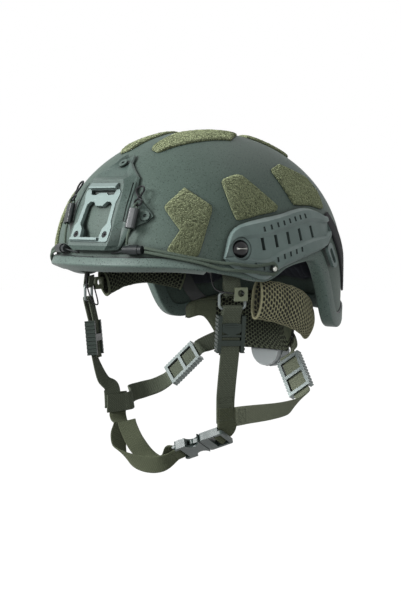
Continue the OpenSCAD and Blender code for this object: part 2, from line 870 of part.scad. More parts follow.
module rail_left() {
  color(SHELL_GREEN)
  difference() {
    union() {
      rail_solid();
      tail_loop();
    }
    at_skin(RAIL_BOLT[0], RAIL_BOLT[1]) {
      rod(bolt_d + 2 * run_gap, -1, 2 * rail_t);
      rod(bolt_recess_d, bolt_seat, 3 * rail_t);
    }
    for (s = RAIL_SLOTS)
      at_skin(s[0], s[1]) rotate([rail_slope, 0, 0])
        translate([0, -slot_w / 2, -slot_h / 2]) cube([2 * rail_t, slot_w, slot_h]);
    // Notches in the two bars
    for (row = NOTCH_ROWS, k = [0 : RAIL_NOTCHES - 1]) {
      f = row[0];
      a = row[1] + notch_pitch * k;
      at_skin(a, smooth_at(RAIL_FOOT, a + 1) * (1 - f) + smooth_at(RAIL_TOP, a + 1) * f, rail_t - notch_d)
        rotate([rail_slope, 0, 0]) translate([0, -notch_w / 2, -notch_h / 2]) cube([3, notch_w, notch_h]);
    }
  }
}
module rail_right() { right() rail_left(); }

// Loop at the rail's tail for a goggle strap
module tail_loop() {
  at_skin(113.8, 8, rail_on_trim) rotate([36, 0, 0])
    rotate([90, 0, 90])
    linear_extrude(height = 3)
    difference() {
      hull() for (z = [-7.5, 8.5]) translate([0, z]) circle(d = 10, $fn = 32);
      hull() for (z = [-6, 6]) translate([0, z]) circle(d = 4.4, $fn = 24);
    }
}

// Slotted dome bolts with their nuts inside the shell
dome_h = 4;
driver_slot = 1.4;
bolt_reach = 7.4;
nut_d = 14;
nut_near = 4.8;
nut_far = 6.9;

module rail_bolt() {
  head_r = bolt_head_d / 2;
  // Radius of the dome from its chord and height
  dome_r = (head_r * head_r + dome_h * dome_h) / 2 / dome_h;
  edge_turn = asin(head_r / dome_r);
  difference() {
    rotate([0, 90, 0]) rotate_extrude($fn = 64)
    polygon(concat(
      [[0, -bolt_seat - wall - bolt_reach], [bolt_d / 2, -bolt_seat - wall - bolt_reach], [bolt_d / 2, 0]],
      [for (k = [8 : -1 : 1]) let (t = edge_turn * k / 8) [dome_r * sin(t), dome_h - dome_r * (1 - cos(t))]],
      [[0, dome_h]]
    ));
    translate([dome_h - driver_slot, -bolt_head_d, -1]) cube([3, 2 * bolt_head_d, 2]);
  }
}

module rail_bolts() {
  color(HARD_BLACK)
  for (side = [-1, 1])
    at_skin(side * RAIL_BOLT[0], RAIL_BOLT[1], bolt_seat + run_gap) {
      rail_bolt();
      translate([-bolt_seat - run_gap, 0, 0])
      difference() {
        rod(nut_d, -wall - nut_far, -wall - nut_near);
        rod(bolt_d + 0.04, -wall - bolt_reach, -wall);
      }
    }
}

// Ball studs on the rails' lowest points that hold the bungees
POST = [70.4, -1];
post_d = 4.6;

module bungee_posts() {
  color(METAL)
  for (side = [-1, 1])
    at_skin(side * POST[0], POST[1], rail_t + run_gap) {
      rod(3, 0, bungee_d + 0.6);
      translate([bungee_d + post_d * 0.35, 0, 0]) sphere(d = post_d, $fn = 40);
    }
}

// Route of a bungee strand as [bearing, height, offset], from its guide to the post
BUNGEE_ROUTE = [
  [23.3, 15.3, 4.9], [31, 11.4, 4.6], [42, 5.6, 5], [49.5, 1.6, 7], [54, 0.2, 9.6], [62, -1.6, 9.6]
];
strand_gap = bungee_d / 2 + 0.25;

module bungee_left() {
  turn = post_d * 0.75 + bungee_d / 2;
  upper = [for (r = BUNGEE_ROUTE) skin_z(r[0], r[1] + strand_gap, r[2])];
  lower = [for (r = BUNGEE_ROUTE) skin_z(r[0], r[1] - strand_gap, r[2])];
  n = skin_normal(POST[0], v_of(POST[1]));
  c = skin_z(POST[0], POST[1], rail_t + run_gap + bungee_d / 2 + 0.45);
  loop = [
    for (t = [110 : -44 : -110])
      from_local(c, n, [0, 0, 1], [0, turn * cos(t), turn * sin(t)])
  ];
  back = [for (i = [len(lower) - 1 : -1 : 0]) lower[i]];
  color(WEB_GREEN) tube(spline(concat(upper, loop, back), 3), bungee_d, 8);
}
module bungee_right() { right() bungee_left(); }

// Rubber guides that grip the front ends of the bungees
GUIDE = [[15.2, 15.3], [22.8, 15.3]];
guide_d = 8.4;
guide_off = 4.9;

module bungee_guide() {
  p = skin_z(GUIDE[0][0], GUIDE[0][1], guide_off);
  q = skin_z(GUIDE[1][0], GUIDE[1][1], guide_off);
  l = norm(q - p);
  local_frame(p, q - p, [0, 0, 1]) {
    rod(guide_d - 1.6, 0, l * 0.4);
    rod(guide_d, l * 0.3, l * 0.75);
    rod(guide_d - 1, l * 0.7, l - 1);
  }
  // Wire foot that hooks under the shroud
  tube([p + 0.2 * (q - p), p - [0, 0, 0.6], skin_z(12, 13, 2.2), skin_z(9, 12.4, 1.6)], 1.4);
}

module bungee_guides() {
  color(HARD_BLACK) {
    bungee_guide();
    right() bungee_guide();
  }
}

// Lanyards parked beside the shroud: a cord from the guide, a lock and a wire hook.
// Each route is [bearing, height] of the foot, the lock's ends, the eye and the tip.
LANYARD_LEFT = [[16.4, 20], [17.6, 32.5], [18.2, 48.4], [19.2, 53.6], [18.6, 67]];
LANYARD_RIGHT = [[16.2, 20], [15.2, 36.2], [16.8, 52.2], [17.6, 57.4], [20.4, 72]];
lanyard_off = 7.4;
tip_off = 6;
lock_t = 5.2;
lock_w = 9.4;
hook_wire = 1.7;
eye_r = 3.3;
cord_d = 2.2;

function lanyard_point(r, i, off = lanyard_off) = skin_z(r[i][0], r[i][1], off);

module lanyard(route) {
  foot = lanyard_point(route, 0, guide_off);
  low = lanyard_point(route, 1) - [0, 0, run_gap];
  tube([foot, (foot + low) / 2, low], cord_d);
  top = lanyard_point(route, 2);
  axis = lanyard_point(route, 3) - top;
  n = skin_normal(route[2][0], v_of(route[2][1]));
  wire = norm(axis) - eye_r;
  bend = hook_wire / 2 + 1.45;
  local_frame(top, axis, n)
  tube(spline([
    [1.5 * run_gap, 0, bend], [wire, 0, bend], [wire + 0.7 * bend, 0, 0.7 * bend], [wire + bend, 0, 0],
    [wire + 0.7 * bend, 0, -0.7 * bend], [wire, 0, -bend], [1.5 * run_gap, 0, -bend]
  ], 2), 1.5);
}

module lanyards() {
  color(LOOP_GREEN) {
    lanyard(LANYARD_LEFT);
    right() lanyard(LANYARD_RIGHT);
  }
}

module lanyard_lock(route) {
  low = lanyard_point(route, 1);
  top = lanyard_point(route, 2);
  l = norm(top - low);
  n = skin_normal(route[2][0], v_of(route[2][1]));
  half = (lock_w - lock_t) / 2;
  local_frame(low, top - low, n) {
    for (side = [-1, 1]) translate([0, side * half, 0]) rod(lock_t, 0, l);
    translate([0, -half, -lock_t / 2]) cube([l, 2 * half, lock_t]);
  }
}

module lanyard_locks() {
  color(HARD_BLACK) {
    lanyard_lock(LANYARD_LEFT);
    right() lanyard_lock(LANYARD_RIGHT);
  }
}

module snap_hook(route) {
  c = lanyard_point(route, 3);
  tip = lanyard_point(route, 4, tip_off);
  l = norm(tip - c);
  n = skin_normal(route[3][0], v_of(route[3][1]));
  local_frame(c, tip - c, n) {
    rotate_extrude($fn = 40) translate([eye_r, 0]) circle(d = hook_wire, $fn = 16);
    tube(spline([
      [eye_r - 0.1, 0.4, 0], [eye_r + 2, 0.6, 0], [l * 0.6, 3.4, 0], [l * 0.85, 3.9, 0], [l, 1.4, 0],
      [l * 0.97, -2.2, 0], [l * 0.75, -3.2, 0], [l * 0.5, -1.8, 0], [eye_r + 1.4, -1.1, 0]
    ], 2), hook_wire);
  }
}

module snap_hooks() {
  color(HARD_BLACK) {
    snap_hook(LANYARD_LEFT);
    right() snap_hook(LANYARD_RIGHT);
  }
}

// Elastic straps from the rails' rear ends down the back of the shell
KEEPER = [
  [[137, -27], [141, -25], [145, -23]],
  [[127.5, 3], [132, 5], [136.5, 7]],
  [[119.6, 26], [124, 29], [128.5, 32]],
  [[114, 42], [117.5, 45.5], [121, 48]]
];
keeper_t = 2;

module keeper() {
  fine = refine(KEEPER, 2);
  slab(on_wall(fine, skin_gap + keeper_t), on_wall(fine, skin_gap));
}

module rear_keepers() {
  color(HARD_BLACK) {
    keeper();
    right() keeper();
  }
}

// The padded liner

// Point of a net at fractions u up and s across
function net_at(net, u, s) =
  let (
    r = len(net) - 1,
    c = len(net[0]) - 1,
    i = min(floor(u * r), r - 1),
    j = min(floor(s * c), c - 1),
    du = u * r - i,
    ds = s * c - j
  )
  (1 - du) * ((1 - ds) * net[i][j] + ds * net[i][j + 1])
  + du * ((1 - ds) * net[i + 1][j] + ds * net[i + 1][j + 1]);

function crown_of(x) = 1 - pow(abs(2 * x - 1), 3);

pad_steps = 8;
// Room for the hook discs behind the pads
pad_gap = 0.8;
pad_draw = 0.93;

// Depth of a pad's face at fractions u and s, with sewn channels across s
function pad_depth(u, s, full, rim, channels) =
  rim + (full - rim) * crown_of(u) * crown_of(s)
  - (channels > 0 ? channel_d * max([for (k = [1 : channels]) abs(s - k / (channels + 1)) < 0.02 ? 1 : 0]) : 0);

function drawn_in(x) = 0.5 + (x - 0.5) * pad_draw;

// A crowned pad on the inner face of the shell, round = true for nets of [x, y]
module pad(net, round = false, channels = 1) {
  n = pad_steps;
  back = -wall - pad_gap;
  outer = [
    for (i = [0 : n])
      [for (j = [0 : n]) let (p = net_at(net, i / n, j / n)) round ? skin_xy(p[0], p[1], back) : skin_z(p[0], p[1], back)]
  ];
  inner = [
    for (i = [0 : n])
      [
        for (j = [0 : n])
          let (
            p = net_at(net, drawn_in(i / n), drawn_in(j / n)),
            d = back - pad_depth(i / n, j / n, pad_t, pad_edge, channels)
          )
          round ? skin_xy(p[0], p[1], d) : skin_z(p[0], p[1], d)
      ]
  ];
  color(PAD_BLACK) slab(outer, inner);
}

PAD_FRONT = [
  [[-33, 25], [0, 25], [33, 25]],
  [[-33, 50], [0, 50], [33, 50]],
  [[-28, 74], [0, 78], [28, 74]]
];
PAD_SIDE = [
  [[66, 8], [82, 15], [98, 19]],
  [[62, 34], [82, 38], [102, 38]],
  [[66, 68], [84, 72], [100, 68]]
];
PAD_REAR = [
  [[122, -34], [136, -30], [149, -26]],
  [[116, 14], [132, 14], [149, 14]],
  [[112, 62], [130, 66], [147, 62]]
];
PAD_BACK = [
  [[156, -24], [180, -22], [204, -24]],
  [[155, 20], [180, 20], [205, 20]],
  [[154, 66], [180, 70], [206, 66]]
];
PAD_CROWN = [
  [[-38, -46], [0, -52], [38, -46]],
  [[-46, 0], [0, 0], [46, 0]],
  [[-38, 46], [0, 52], [38, 46]]
];

module pad_front() { pad(PAD_FRONT, channels = 3); }
module pad_side_left() { pad(PAD_SIDE); }
module pad_side_right() { right() pad_side_left(); }
module pad_rear_left() { pad(PAD_REAR, channels = 3); }
module pad_rear_right() { right() pad_rear_left(); }
module pad_back() { pad(PAD_BACK, channels = 3); }
module pad_crown() { pad(PAD_CROWN, round = true); }

// The fit band behind the head

nape_top = -30;
nape_span = 53;

function nape_point(a, z, off) =
  let (r = pow(pow(abs(sin(a)) / nape_w, 2.2) + pow(abs(cos(a)) / nape_reach, 2.2), -1 / 2.2) + off)
  [r * sin(a), -r * cos(a), z];

// Height on the band at bearing a and fraction u. The middle is a deep pad and the
// ends are narrow wings.
wing_drop = 14;
wing_h = 17;

function nape_z(a, u) =
  let (
    b = abs(around(a - 180)),
    top = nape_top - wing_drop * pow(b / nape_span, 2),
    s = min(1, max(0, (b - 26) / 18)),
    foot = (nape_top - nape_h) * (1 - s * s * (3 - 2 * s)) + (top - wing_h) * s * s * (3 - 2 * s)
  )
  top * u + foot * (1 - u);

module nape_pad() {
  rows = 8;
  columns = 16;
  a0 = 180 - nape_span;
  outer = [
    for (i = [0 : rows])
      [for (j = [0 : columns]) let (a = a0 + 2 * nape_span * j / columns) nape_point(a, nape_z(a, i / rows), 0)]
  ];
  inner = [
    for (i = [0 : rows])
      [
        for (j = [0 : columns])
          let (a = a0 + 2 * nape_span * drawn_in(j / columns))
          nape_point(a, nape_z(a, drawn_in(i / rows)), -pad_depth(i / rows, j / columns, nape_t, nape_t * 0.45, 0))
      ]
  ];
  color(MESH_GREEN) slab(outer, inner);
}

cradle_t = 2.2;
arm_w = 13;
dial_z = -88;
spindle_d = 6;
spindle_gap = 0.07;
housing_t = 6;
housing_y = nape_reach + skin_gap + cradle_t - 0.6;

// Arms from the cradle's wings into the sleeves. The keys lie inside the sleeves.
LEFT_ARM = [[72, 68, -55], [81.8, 62.8, -56], [89.4, 50.8, -51], [92.4, 44.8, -48]];
RIGHT_ARM = [[70, 66.8, -36], [78.5, 59.3, -18], [85.6, 50.6, -14], [89, 44.6, -12.5]];

module nape_arm(route) {
  mid = skin_gap + cradle_t / 2 + 0.25;
  ribbon([
    [nape_point(156, nape_z(156, 0.6), mid), [0, 0, 1]],
    [nape_point(149, nape_z(149, 0.55), mid), [0, 0, 1]],
    for (q = route) [q + [half_w - 118, 0, 0], [0, 0.1, 1]]
  ], arm_w, cradle_t - 0.1, 3);
}

// Axis of the dial, local z out of the back
module dial_frame() {
  translate([0, housing_y, dial_z]) rotate([-90, 0, 0]) children();
}

module nape_cradle() {
  rows = 4;
  columns = 16;
  a0 = 180 - nape_span;
  grid = [for (i = [0 : rows]) [for (j = [0 : columns]) [a0 + 2 * nape_span * j / columns, 0.12 + 0.7 * i / rows]]];
  outer = [for (r = grid) [for (p = r) nape_point(p[0], nape_z(p[0], p[1]), skin_gap + cradle_t)]];
  inner = [for (r = grid) [for (p = r) nape_point(p[0], nape_z(p[0], p[1]), skin_gap)]];
  color(DIAL_GREY)
  difference() {
    union() {
      slab(outer, inner);
      nape_arm(LEFT_ARM);
      right() nape_arm(RIGHT_ARM);
      dial_frame() cylinder(d = dial_d - 3, h = housing_t, $fn = 64);
      // Ear that carries the housing below the band
      dial_frame() translate([-10, -14, 0]) cube([20, 14, 3]);
    }
    dial_frame() translate([0, 0, 0.8]) cylinder(d = spindle_d + 2 * spindle_gap, h = housing_t + 4, $fn = 48);
  }
}

module fit_dial() {
  grips = 16;
  color(DIAL_GREY)
  dial_frame()
  difference() {
    union() {
      translate([0, 0, 1.2]) cylinder(d = spindle_d, h = housing_t, $fn = 48);
      translate([0, 0, housing_t + run_gap]) cylinder(d = dial_d, h = dial_t, $fn = 80);
    }
    for (k = [0 : grips - 1])
      rotate([0, 0, 360 * k / grips])
      translate([dial_d / 2 + 1, 0, housing_t + run_gap - 1]) cylinder(d = 4, h = dial_t + 2, $fn = 24);
    translate([0, 0, housing_t + run_gap + dial_t - 1.5])
    difference() {
      cylinder(d = dial_d - 9, h = 3, $fn = 64);
      translate([-2, -dial_d / 2, -1]) cube([4, dial_d, 5]);
    }
  }
}

// Side sleeves of spacer mesh round the band's arms. The left one has dropped at the
// back and the right one is tucked up, each a list of centres and half heights.
SLEEVE_LEFT = [[97, -31, -29], [99, -6, -33], [97.5, 22, -40], [91, 44, -48], [80.5, 62, -56]];
LEFT_HALF = [18.5, 19, 19.5, 19, 17];
SLEEVE_RIGHT = [[97, -35, -21], [98, -8, -12], [96, 20, -9], [88, 44, -12.5], [77.5, 58.7, -18]];
RIGHT_HALF = [14.5, 15, 15, 15, 14];
sleeve_t = 14;
sleeve_wall = 2.2;

function sleeve_ring(p, t, half, thick) =
  let (
    up = squared([0, 0.2, 1], t),
    side = cross(t, up)
  )
  [for (k = [0 : 11]) p + half * sin(30 * k) * up + thick * cos(30 * k) * -side];

module sleeve(line, halves) {
  n = 3;
  p = spline([for (q = line) q + [half_w - 118, 0, 0]], n);
  half = spline([for (h = halves) [h, 0, 0]], n);
  m = len(p) * 12;
  outer = [for (i = [0 : len(p) - 1]) sleeve_ring(p[i], tangent(p, i), half[i][0], sleeve_t / 2)];
  inner = [
    for (i = [0 : len(p) - 1])
      sleeve_ring(p[i], tangent(p, i), half[i][0] - sleeve_wall, sleeve_t / 2 - sleeve_wall)
  ];
  last = (len(p) - 1) * 12;
  faces = [
    for (i = [0 : len(p) - 2])
      for (j = [0 : 11])
        each quad(i * 12 + j, (i + 1) * 12 + j, (i + 1) * 12 + (j + 1) % 12, i * 12 + (j + 1) % 12),
    for (i = [0 : len(p) - 2])
      for (j = [0 : 11])
        each quad(m + i * 12 + j, m + i * 12 + (j + 1) % 12, m + (i + 1) * 12 + (j + 1) % 12, m + (i + 1) * 12 + j),
    for (j = [0 : 11]) each quad(j, (j + 1) % 12, m + (j + 1) % 12, m + j),
    for (j = [0 : 11]) each quad(last + (j + 1) % 12, last + j, m + last + j, m + last + (j + 1) % 12)
  ];
  color(MESH_GREEN) polyhedron(points = concat(flat(outer), flat(inner)), faces = faces, convexity = 10);
}

module sleeve_left() { sleeve(SLEEVE_LEFT, LEFT_HALF); }
module sleeve_right() { right() sleeve(SLEEVE_RIGHT, RIGHT_HALF); }

// Laces of the fit system, from the shell's lining to the clips at the strap rings
web_gap = web_t + run_gap;
strap_w = [0.53, 0.85, 0];
strap_n = [0.85, -0.53, 0];
ring_at = [half_w - 25, -59, -29];

clip_side = 12;
clip_t = 3;
clip_hole_d = 6;
clip_at = ring_at + 6.4 * strap_n + 6 * strap_w + [0, 0, 5.5];
right_clip_at = [half_w - 21, -42, -21];
lace_top = [44, 26];

// Routes from the shell's inner face down to the clips
function lace_start() = [
  skin_z(lace_top[0], lace_top[1], -wall - skin_gap - lace_d / 2 - 0.2),
  skin_z(lace_top[0] + 1, lace_top[1] - 12, -wall - 2.4),
  skin_z(lace_top[0] + 3, 2, -wall - 6),
  ring_at + [-12, -15, 24]
];

module lace_left() {
  color(HARD_BLACK)
  tube(spline(concat(lace_start(), [
    ring_at + [-9.5, -14.5, 14],
    ring_at + [-3.5, -13.5, 8.5],
    clip_at - (clip_side / 2 + 2 * run_gap) * unit(strap_w) + [0, 0, 1]
  ]), 3), lace_d, 8);
}

module lace_right() {
  color(HARD_BLACK)
  right()
  tube(spline(concat(lace_start(), [
    ring_at + [-13, -14, 8],
    ring_at + [-13.5, -7.5, -8],
    ring_at + [-8, 5, -11],
    right_clip_at - [0.6, clip_side / 2 + 2 * run_gap, 3]
  ]), 3), lace_d, 8);
}

module lace_clip(at, w) {
  local_frame(at, [0, 0, 1], w)
  rotate([90, 0, 0])
  linear_extrude(height = clip_t, center = true)
  difference() {
    square(clip_side, center = true);
    translate([0.8, 0]) circle(d = clip_hole_d, $fn = 40);
  }
}

module lace_clips() {
  color(CLIP_GREEN) {
    lace_clip(clip_at, strap_w);
    right() lace_clip(right_clip_at, [0.1, 1, 0]);
  }
}

// Strap rings, the tabs that hang them from the rail bolts, and the front straps
ring_w = frame_w + 0.5;
ring_h = 17;
wire_d = 2.6;
bar_x = ring_h / 2 - wire_d / 2;
fold_r = wire_d / 2 + run_gap + web_t / 2;
tab_w = 15.5;
tab_off = -wall - 2.7;

// A rounded rectangle, exact at its corners
module rounded(l, w, r) {
  square([l - 2 * r, w], center = true);
  square([l, w - 2 * r], center = true);
  for (i = [-1, 1]) for (j = [-1, 1])
    translate([i * (l / 2 - r), j * (w / 2 - r)]) circle(r = r, $fn = 32);
}

module strap_ring() {
  bend = 3.4;
  local_frame(ring_at, [0, 0, 1], strap_w)
  rotate([90, 0, 0]) {
    for (i = [-1, 1]) {
      translate([i * bar_x, 0, 0]) rotate([90, 0, 0])
        cylinder(d = wire_d, h = ring_w - wire_d - 2 * bend, center = true, $fn = 32);
      translate([0, i * (ring_w - wire_d) / 2, 0]) rotate([0, 90, 0])
        cylinder(d = wire_d, h = 2 * bar_x - 2 * bend, center = true, $fn = 32);
      for (j = [-1, 1])
        translate([i * (bar_x - bend), j * ((ring_w - wire_d) / 2 - bend), 0])
        rotate([0, 0, i > 0 ? (j > 0 ? 0 : 270) : (j > 0 ? 90 : 180)])
        rotate_extrude(angle = 90, $fn = 48) translate([bend, 0]) circle(d = wire_d, $fn = 32);
    }
  }
}

module strap_rings() {
  color(METAL) {
    strap_ring();
    right() strap_ring();
  }
}

// Point in the frame of a strap: along it, out of its face and across it
function strap_point(c, l, w, x, y) = from_local(c, l, w, [x, y, 0]);

// Outward normal of an upright strap with width direction w
function face_normal(w) = unit([w[1], -w[0], 0]);

module anchor_tab() {
  a = RAIL_BOLT[0];
  wall_w = [cos(a), sin(a), 0];
  top_bar = strap_point(ring_at, [0, 0, 1], strap_w, bar_x, 0);
  r = fold_r + 0.15;
  fold = [for (t = [30 : -30 : -180]) top_bar + r * (cos(t) * strap_n + sin(t) * [0, 0, 1])];
  difference() {
    ribbon([
      [skin_z(a, RAIL_BOLT[1] + 9, tab_off), wall_w],
      [skin_z(a, RAIL_BOLT[1], tab_off), wall_w],
      [skin_z(a, RAIL_BOLT[1] - 9, tab_off), wall_w],
      [skin_z(a + 1, -2, tab_off - 8), wall_w],
      for (q = fold) [q, strap_w],
      [top_bar - (fold_r + 0.6) * strap_n + [-0.6, 0, 9], strap_w]
    ], tab_w, web_t, 2);
    at_skin(a, RAIL_BOLT[1]) rod(bolt_d + 0.6, tab_off - 4, tab_off + 4);
  }
}

module anchor_tabs() {
  color(WEB_GREEN) {
    anchor_tab();
    right() anchor_tab();
  }
}

adjuster_up = [0.09, -0.03, 1];
// Drop of each adjuster's centre below its ring
left_drop = 30;
right_drop = 44;
junction = [half_w - 44.6, -46, -junction_drop];
// Width directions of the straps at the left and the mirrored right junction
left_w = [0.45, 0.89, 0];
right_w = [-0.25, 0.97, 0];
divider_t = 1.5;
tail_y = -web_t / 2 - run_gap - divider_t - web_gap + web_t / 2;

function adjuster_at(drop) = ring_at + [-2.9 * drop / 30, 1.2 * drop / 30, -drop];

function adjuster_point(drop, x, y) = strap_point(adjuster_at(drop), adjuster_up, strap_w, x, y);

// The front strap: up from the junction through the adjuster, round the ring and
// back down behind the divider to a free end
module front_strap(drop, end_w) {
  low_bar = strap_point(ring_at, [0, 0, 1], strap_w, -bar_x, 0);
  half = adjuster_l / 2;
  color(WEB_GREEN)
  ribbon([
    [junction - [0, 0, 6], end_w],
    [junction, end_w],
    [junction + [1, -1, 14], end_w],
    [(junction + adjuster_point(drop, -half, 0)) / 2 + [0, -1.2, 0], (end_w + strap_w) / 2],
    [adjuster_point(drop, -half - 2, 0), strap_w],
    [adjuster_point(drop, -half * 0.6, 0), strap_w],
    [adjuster_point(drop, half * 0.6, 0), strap_w],
    [adjuster_point(drop, half, 0.4), strap_w],
    for (t = [0 : 60 : 180]) [low_bar + fold_r * (cos(t) * strap_n + sin(t) * [0, 0, 1]), strap_w],
    [adjuster_point(drop, half, tail_y - 0.4), strap_w],
    [adjuster_point(drop, half * 0.6, tail_y), strap_w],
    [adjuster_point(drop, -half * 0.6, tail_y), strap_w],
    [adjuster_point(drop, -half - 3, tail_y - 0.6), strap_w]
  ], web_w, web_t, 2);
}

module front_strap_left() { front_strap(left_drop, left_w); }
module front_strap_right() { right() front_strap(right_drop, right_w); }

// Adjusters with serrated cheeks. Local x runs up the strap, y out and z across.
pin_d = 2;
pin_gap = 0.06;
cheek_in = web_w / 2 + run_gap;
pivot_x = -1.5;
face_y = web_t / 2 + run_gap;
pivot_y = face_y + frame_t / 2;

module at_adjuster(drop) {
  local_frame(adjuster_at(drop), adjuster_up, strap_w) children();
}

module cheeks(l, y0, y1, teeth) {
  cheek_t = frame_w / 2 - cheek_in;
  difference() {
    for (side = [0, 1]) mirror([0, 0, side])
      translate([-l / 2, y0, cheek_in]) cube([l, y1 - y0, cheek_t]);
    for (side = [-1, 1]) for (k = [0 : teeth - 1])
      translate([(k - (teeth - 1) / 2) * l / teeth, y0 - 1, side * (frame_w / 2 + 0.3)])
        rotate([-90, 0, 0]) cylinder(d = 2, h = y1 - y0 + 2, $fn = 24);
  }
}

module adjuster() {
  half = adjuster_l / 2;
  back_y = tail_y - web_t / 2 - run_gap;
  difference() {
    union() {
      cheeks(adjuster_l, back_y - divider_t, face_y + frame_t, 9);
      // Divider between the two layers, keeper behind them and foot bar in front
      translate([-half * 0.55, -face_y - divider_t, -cheek_in - 0.5])
        cube([half * 1.1, divider_t, 2 * cheek_in + 1]);
      translate([-half * 0.2, back_y - divider_t, -cheek_in - 0.5])
        cube([half * 0.4, divider_t, 2 * cheek_in + 1]);
      translate([-half * 0.62, face_y, -cheek_in - 0.5])
        cube([half * 0.3, frame_t - 0.4, 2 * cheek_in + 1]);
    }
    translate([pivot_x, pivot_y, 0])
      cylinder(d = pin_d + 2 * pin_gap, h = 2 * (cheek_in + 1.6), center = true, $fn = 32);
  }
}

module adjusters() {
  color(SHELL_GREEN) {
    at_adjuster(left_drop) adjuster();
    right() at_adjuster(right_drop) adjuster();
  }
}

// Lever that presses on the webbing, hung on a pin between the cheeks
module lever(l, arch, notch) {
  w = 2 * cheek_in - 2 * run_gap;
  knuckle = frame_t - 0.3;
  translate([pivot_x, pivot_y, 0]) {
    cylinder(d = pin_d, h = 2 * (cheek_in + 1.4), center = true, $fn = 32);
    cylinder(d = knuckle, h = w, center = true, $fn = 32);
    rotate([-90, 0, 0]) translate([0, 0, -frame_t / 2 + 0.35])
    linear_extrude(height = frame_t - 0.35)
    difference() {
      intersection() {
        translate([0, -w / 2]) square([l + arch, w]);
        translate([l + arch - 2.2 * w, 0]) circle(r = 2.2 * w, $fn = 120);
      }
      // Thumb notches beside the hinge
      if (notch)
        for (side = [-1, 1])
          polygon([[1.3, side * w / 2 * 1.01], [1.3, side * w * 0.2], [4, side * w / 2 * 1.01]]);
    }
    // Raised rib at the free edge
    translate([l - 1.4, frame_t / 2, 0]) cube([1.4, 1.4, w * 0.8], center = true);
  }
}

module adjuster_lever(drop) {
  color(SHELL_GREEN) at_adjuster(drop) lever(adjuster_l * 0.32, 1.2, true);
}

module adjuster_lever_left() { adjuster_lever(left_drop); }
module adjuster_lever_right() { right() adjuster_lever(right_drop); }

// Rear straps with their cam buckles. Local x runs down the strap, y out of its
// outer face and z across.
cam_at = [half_w - 45, 53, -105.5];
cam_l_dir = [0.64, -0.31, -0.7];
cam_w_dir = [0.79, 0.26, 0.56];
tab_z = nape_top - nape_h + 10;
tab_rise = 2 * skin_gap + cradle_t + web_t / 2 + 0.6;

module at_cam() {
  local_frame(cam_at, cam_l_dir, cam_w_dir) children();
}

function cam_point(x, y = 0) = from_local(cam_at, cam_l_dir, cam_w_dir, [x, y, 0]);

module rear_strap(end_w) {
  half = cam_l / 2;
  end = junction - [0, 0, 1.5] - web_gap * face_normal(end_w);
  color(WEB_GREEN)
  ribbon([
    [nape_point(162, tab_z + 5, tab_rise), [0.2, -0.1, 0.95]],
    [nape_point(153, tab_z, tab_rise), [0.35, -0.2, 0.88]],
    [(nape_point(146, tab_z - 3, tab_rise + 1.2) + cam_point(-half - 2)) / 2, [0.6, 0.05, 0.75]],
    [cam_point(-half - 4, 0.3), cam_w_dir],
    [cam_point(-half), cam_w_dir],
    [cam_point(-half * 0.5), cam_w_dir],
    [cam_point(half * 0.5), cam_w_dir],
    [cam_point(half), cam_w_dir],
    [cam_point(half + 5, -0.6), [0.77, 0.22, 0.6]],
    [[half_w - 25.5, 33, -junction_drop + 7], [0.66, 0.1, 0.74]],
    [[half_w - 22, 18, -junction_drop + 4], [0.5, 0.05, 0.86]],
    [[half_w - 25, -2, -junction_drop + 2], [0.4, 0, 0.9]],
    [end + 22 * end_w + [1.6, 0, 2], [0.2, 0, 0.98]],
    [end + 10 * end_w + [0, 0, 0.6], [0, 0, 1]],
    [end, [0, 0, 1]],
    [end - 7 * end_w, [0, 0, 1]]
  ], web_w, web_t, 3);
}

module rear_strap_left() { rear_strap(left_w); }
module rear_strap_right() { right() rear_strap(right_w); }

module cam_frame() {
  half = cam_l / 2;
  bar_l = 3.4;
  difference() {
    union() {
      cheeks(cam_l, -face_y - frame_t + 0.4, face_y + frame_t, 11);
      for (x = [-half + bar_l / 2, 0, half - bar_l / 2])
        translate([x - bar_l / 2, -face_y - frame_t + 0.4, -cheek_in - 0.5])
          cube([bar_l, frame_t - 0.4, 2 * cheek_in + 1]);
    }
    translate([pivot_x, pivot_y, 0])
      cylinder(d = pin_d + 2 * pin_gap, h = 2 * (cheek_in + 1.6), center = true, $fn = 32);
  }
}

module cam_frames() {
  color(METAL) {
    at_cam() cam_frame();
    right() at_cam() cam_frame();
  }
}

module cam_lever_left() {
  color(METAL) at_cam() lever(cam_l * 0.38, 1.2, false);
}
module cam_lever_right() { right() cam_lever_left(); }

// Side-release buckle of the chin strap. Local x runs from the socket to the plug,
// y to the inner face and z across.
// From the near junction down to the buckle
buckle_below = 25.5;
buckle_at = [52.4, -53.8, -junction_drop - buckle_below];
buckle_dir = [0.864, 0.344, 0.364];
buckle_w_dir = [0.154, -0.861, 0.479];
socket_l = buckle_l * 0.54;
socket_mouth = socket_l - buckle_l / 2;
socket_foot = -buckle_l / 2;
plug_end = buckle_l / 2;
body_wall = 1.9;
cavity_z = buckle_w / 2 - 3;
cavity_y = buckle_t / 2 - body_wall;
cavity_x = socket_mouth - 14;
release_r = 6.2;
release_x = cavity_x + 6.5;
slot_half = web_w / 2 + run_gap;
strap_bar_d = 2.8;
strap_hole_l = 4.8;
plug_hole_l = 11.8;
plug_end_l = 3;
plug_bar = plug_end - plug_end_l - plug_hole_l / 2;
bar_wrap = strap_bar_d / 2 + run_gap + web_t / 2;

module at_buckle() {
  local_frame(buckle_at, buckle_dir, buckle_w_dir) children();
}

function buckle_point(x, y, z = 0) = from_local(buckle_at, buckle_dir, buckle_w_dir, [x, y, z]);

// A body of the buckle between x0 and x1, seen across its face
module buckle_body(x0, x1, w, t) {
  translate([(x0 + x1) / 2, 0, 0]) rotate([90, 0, 0])
    linear_extrude(height = t, center = true) rounded(x1 - x0, w, 2.6);
}

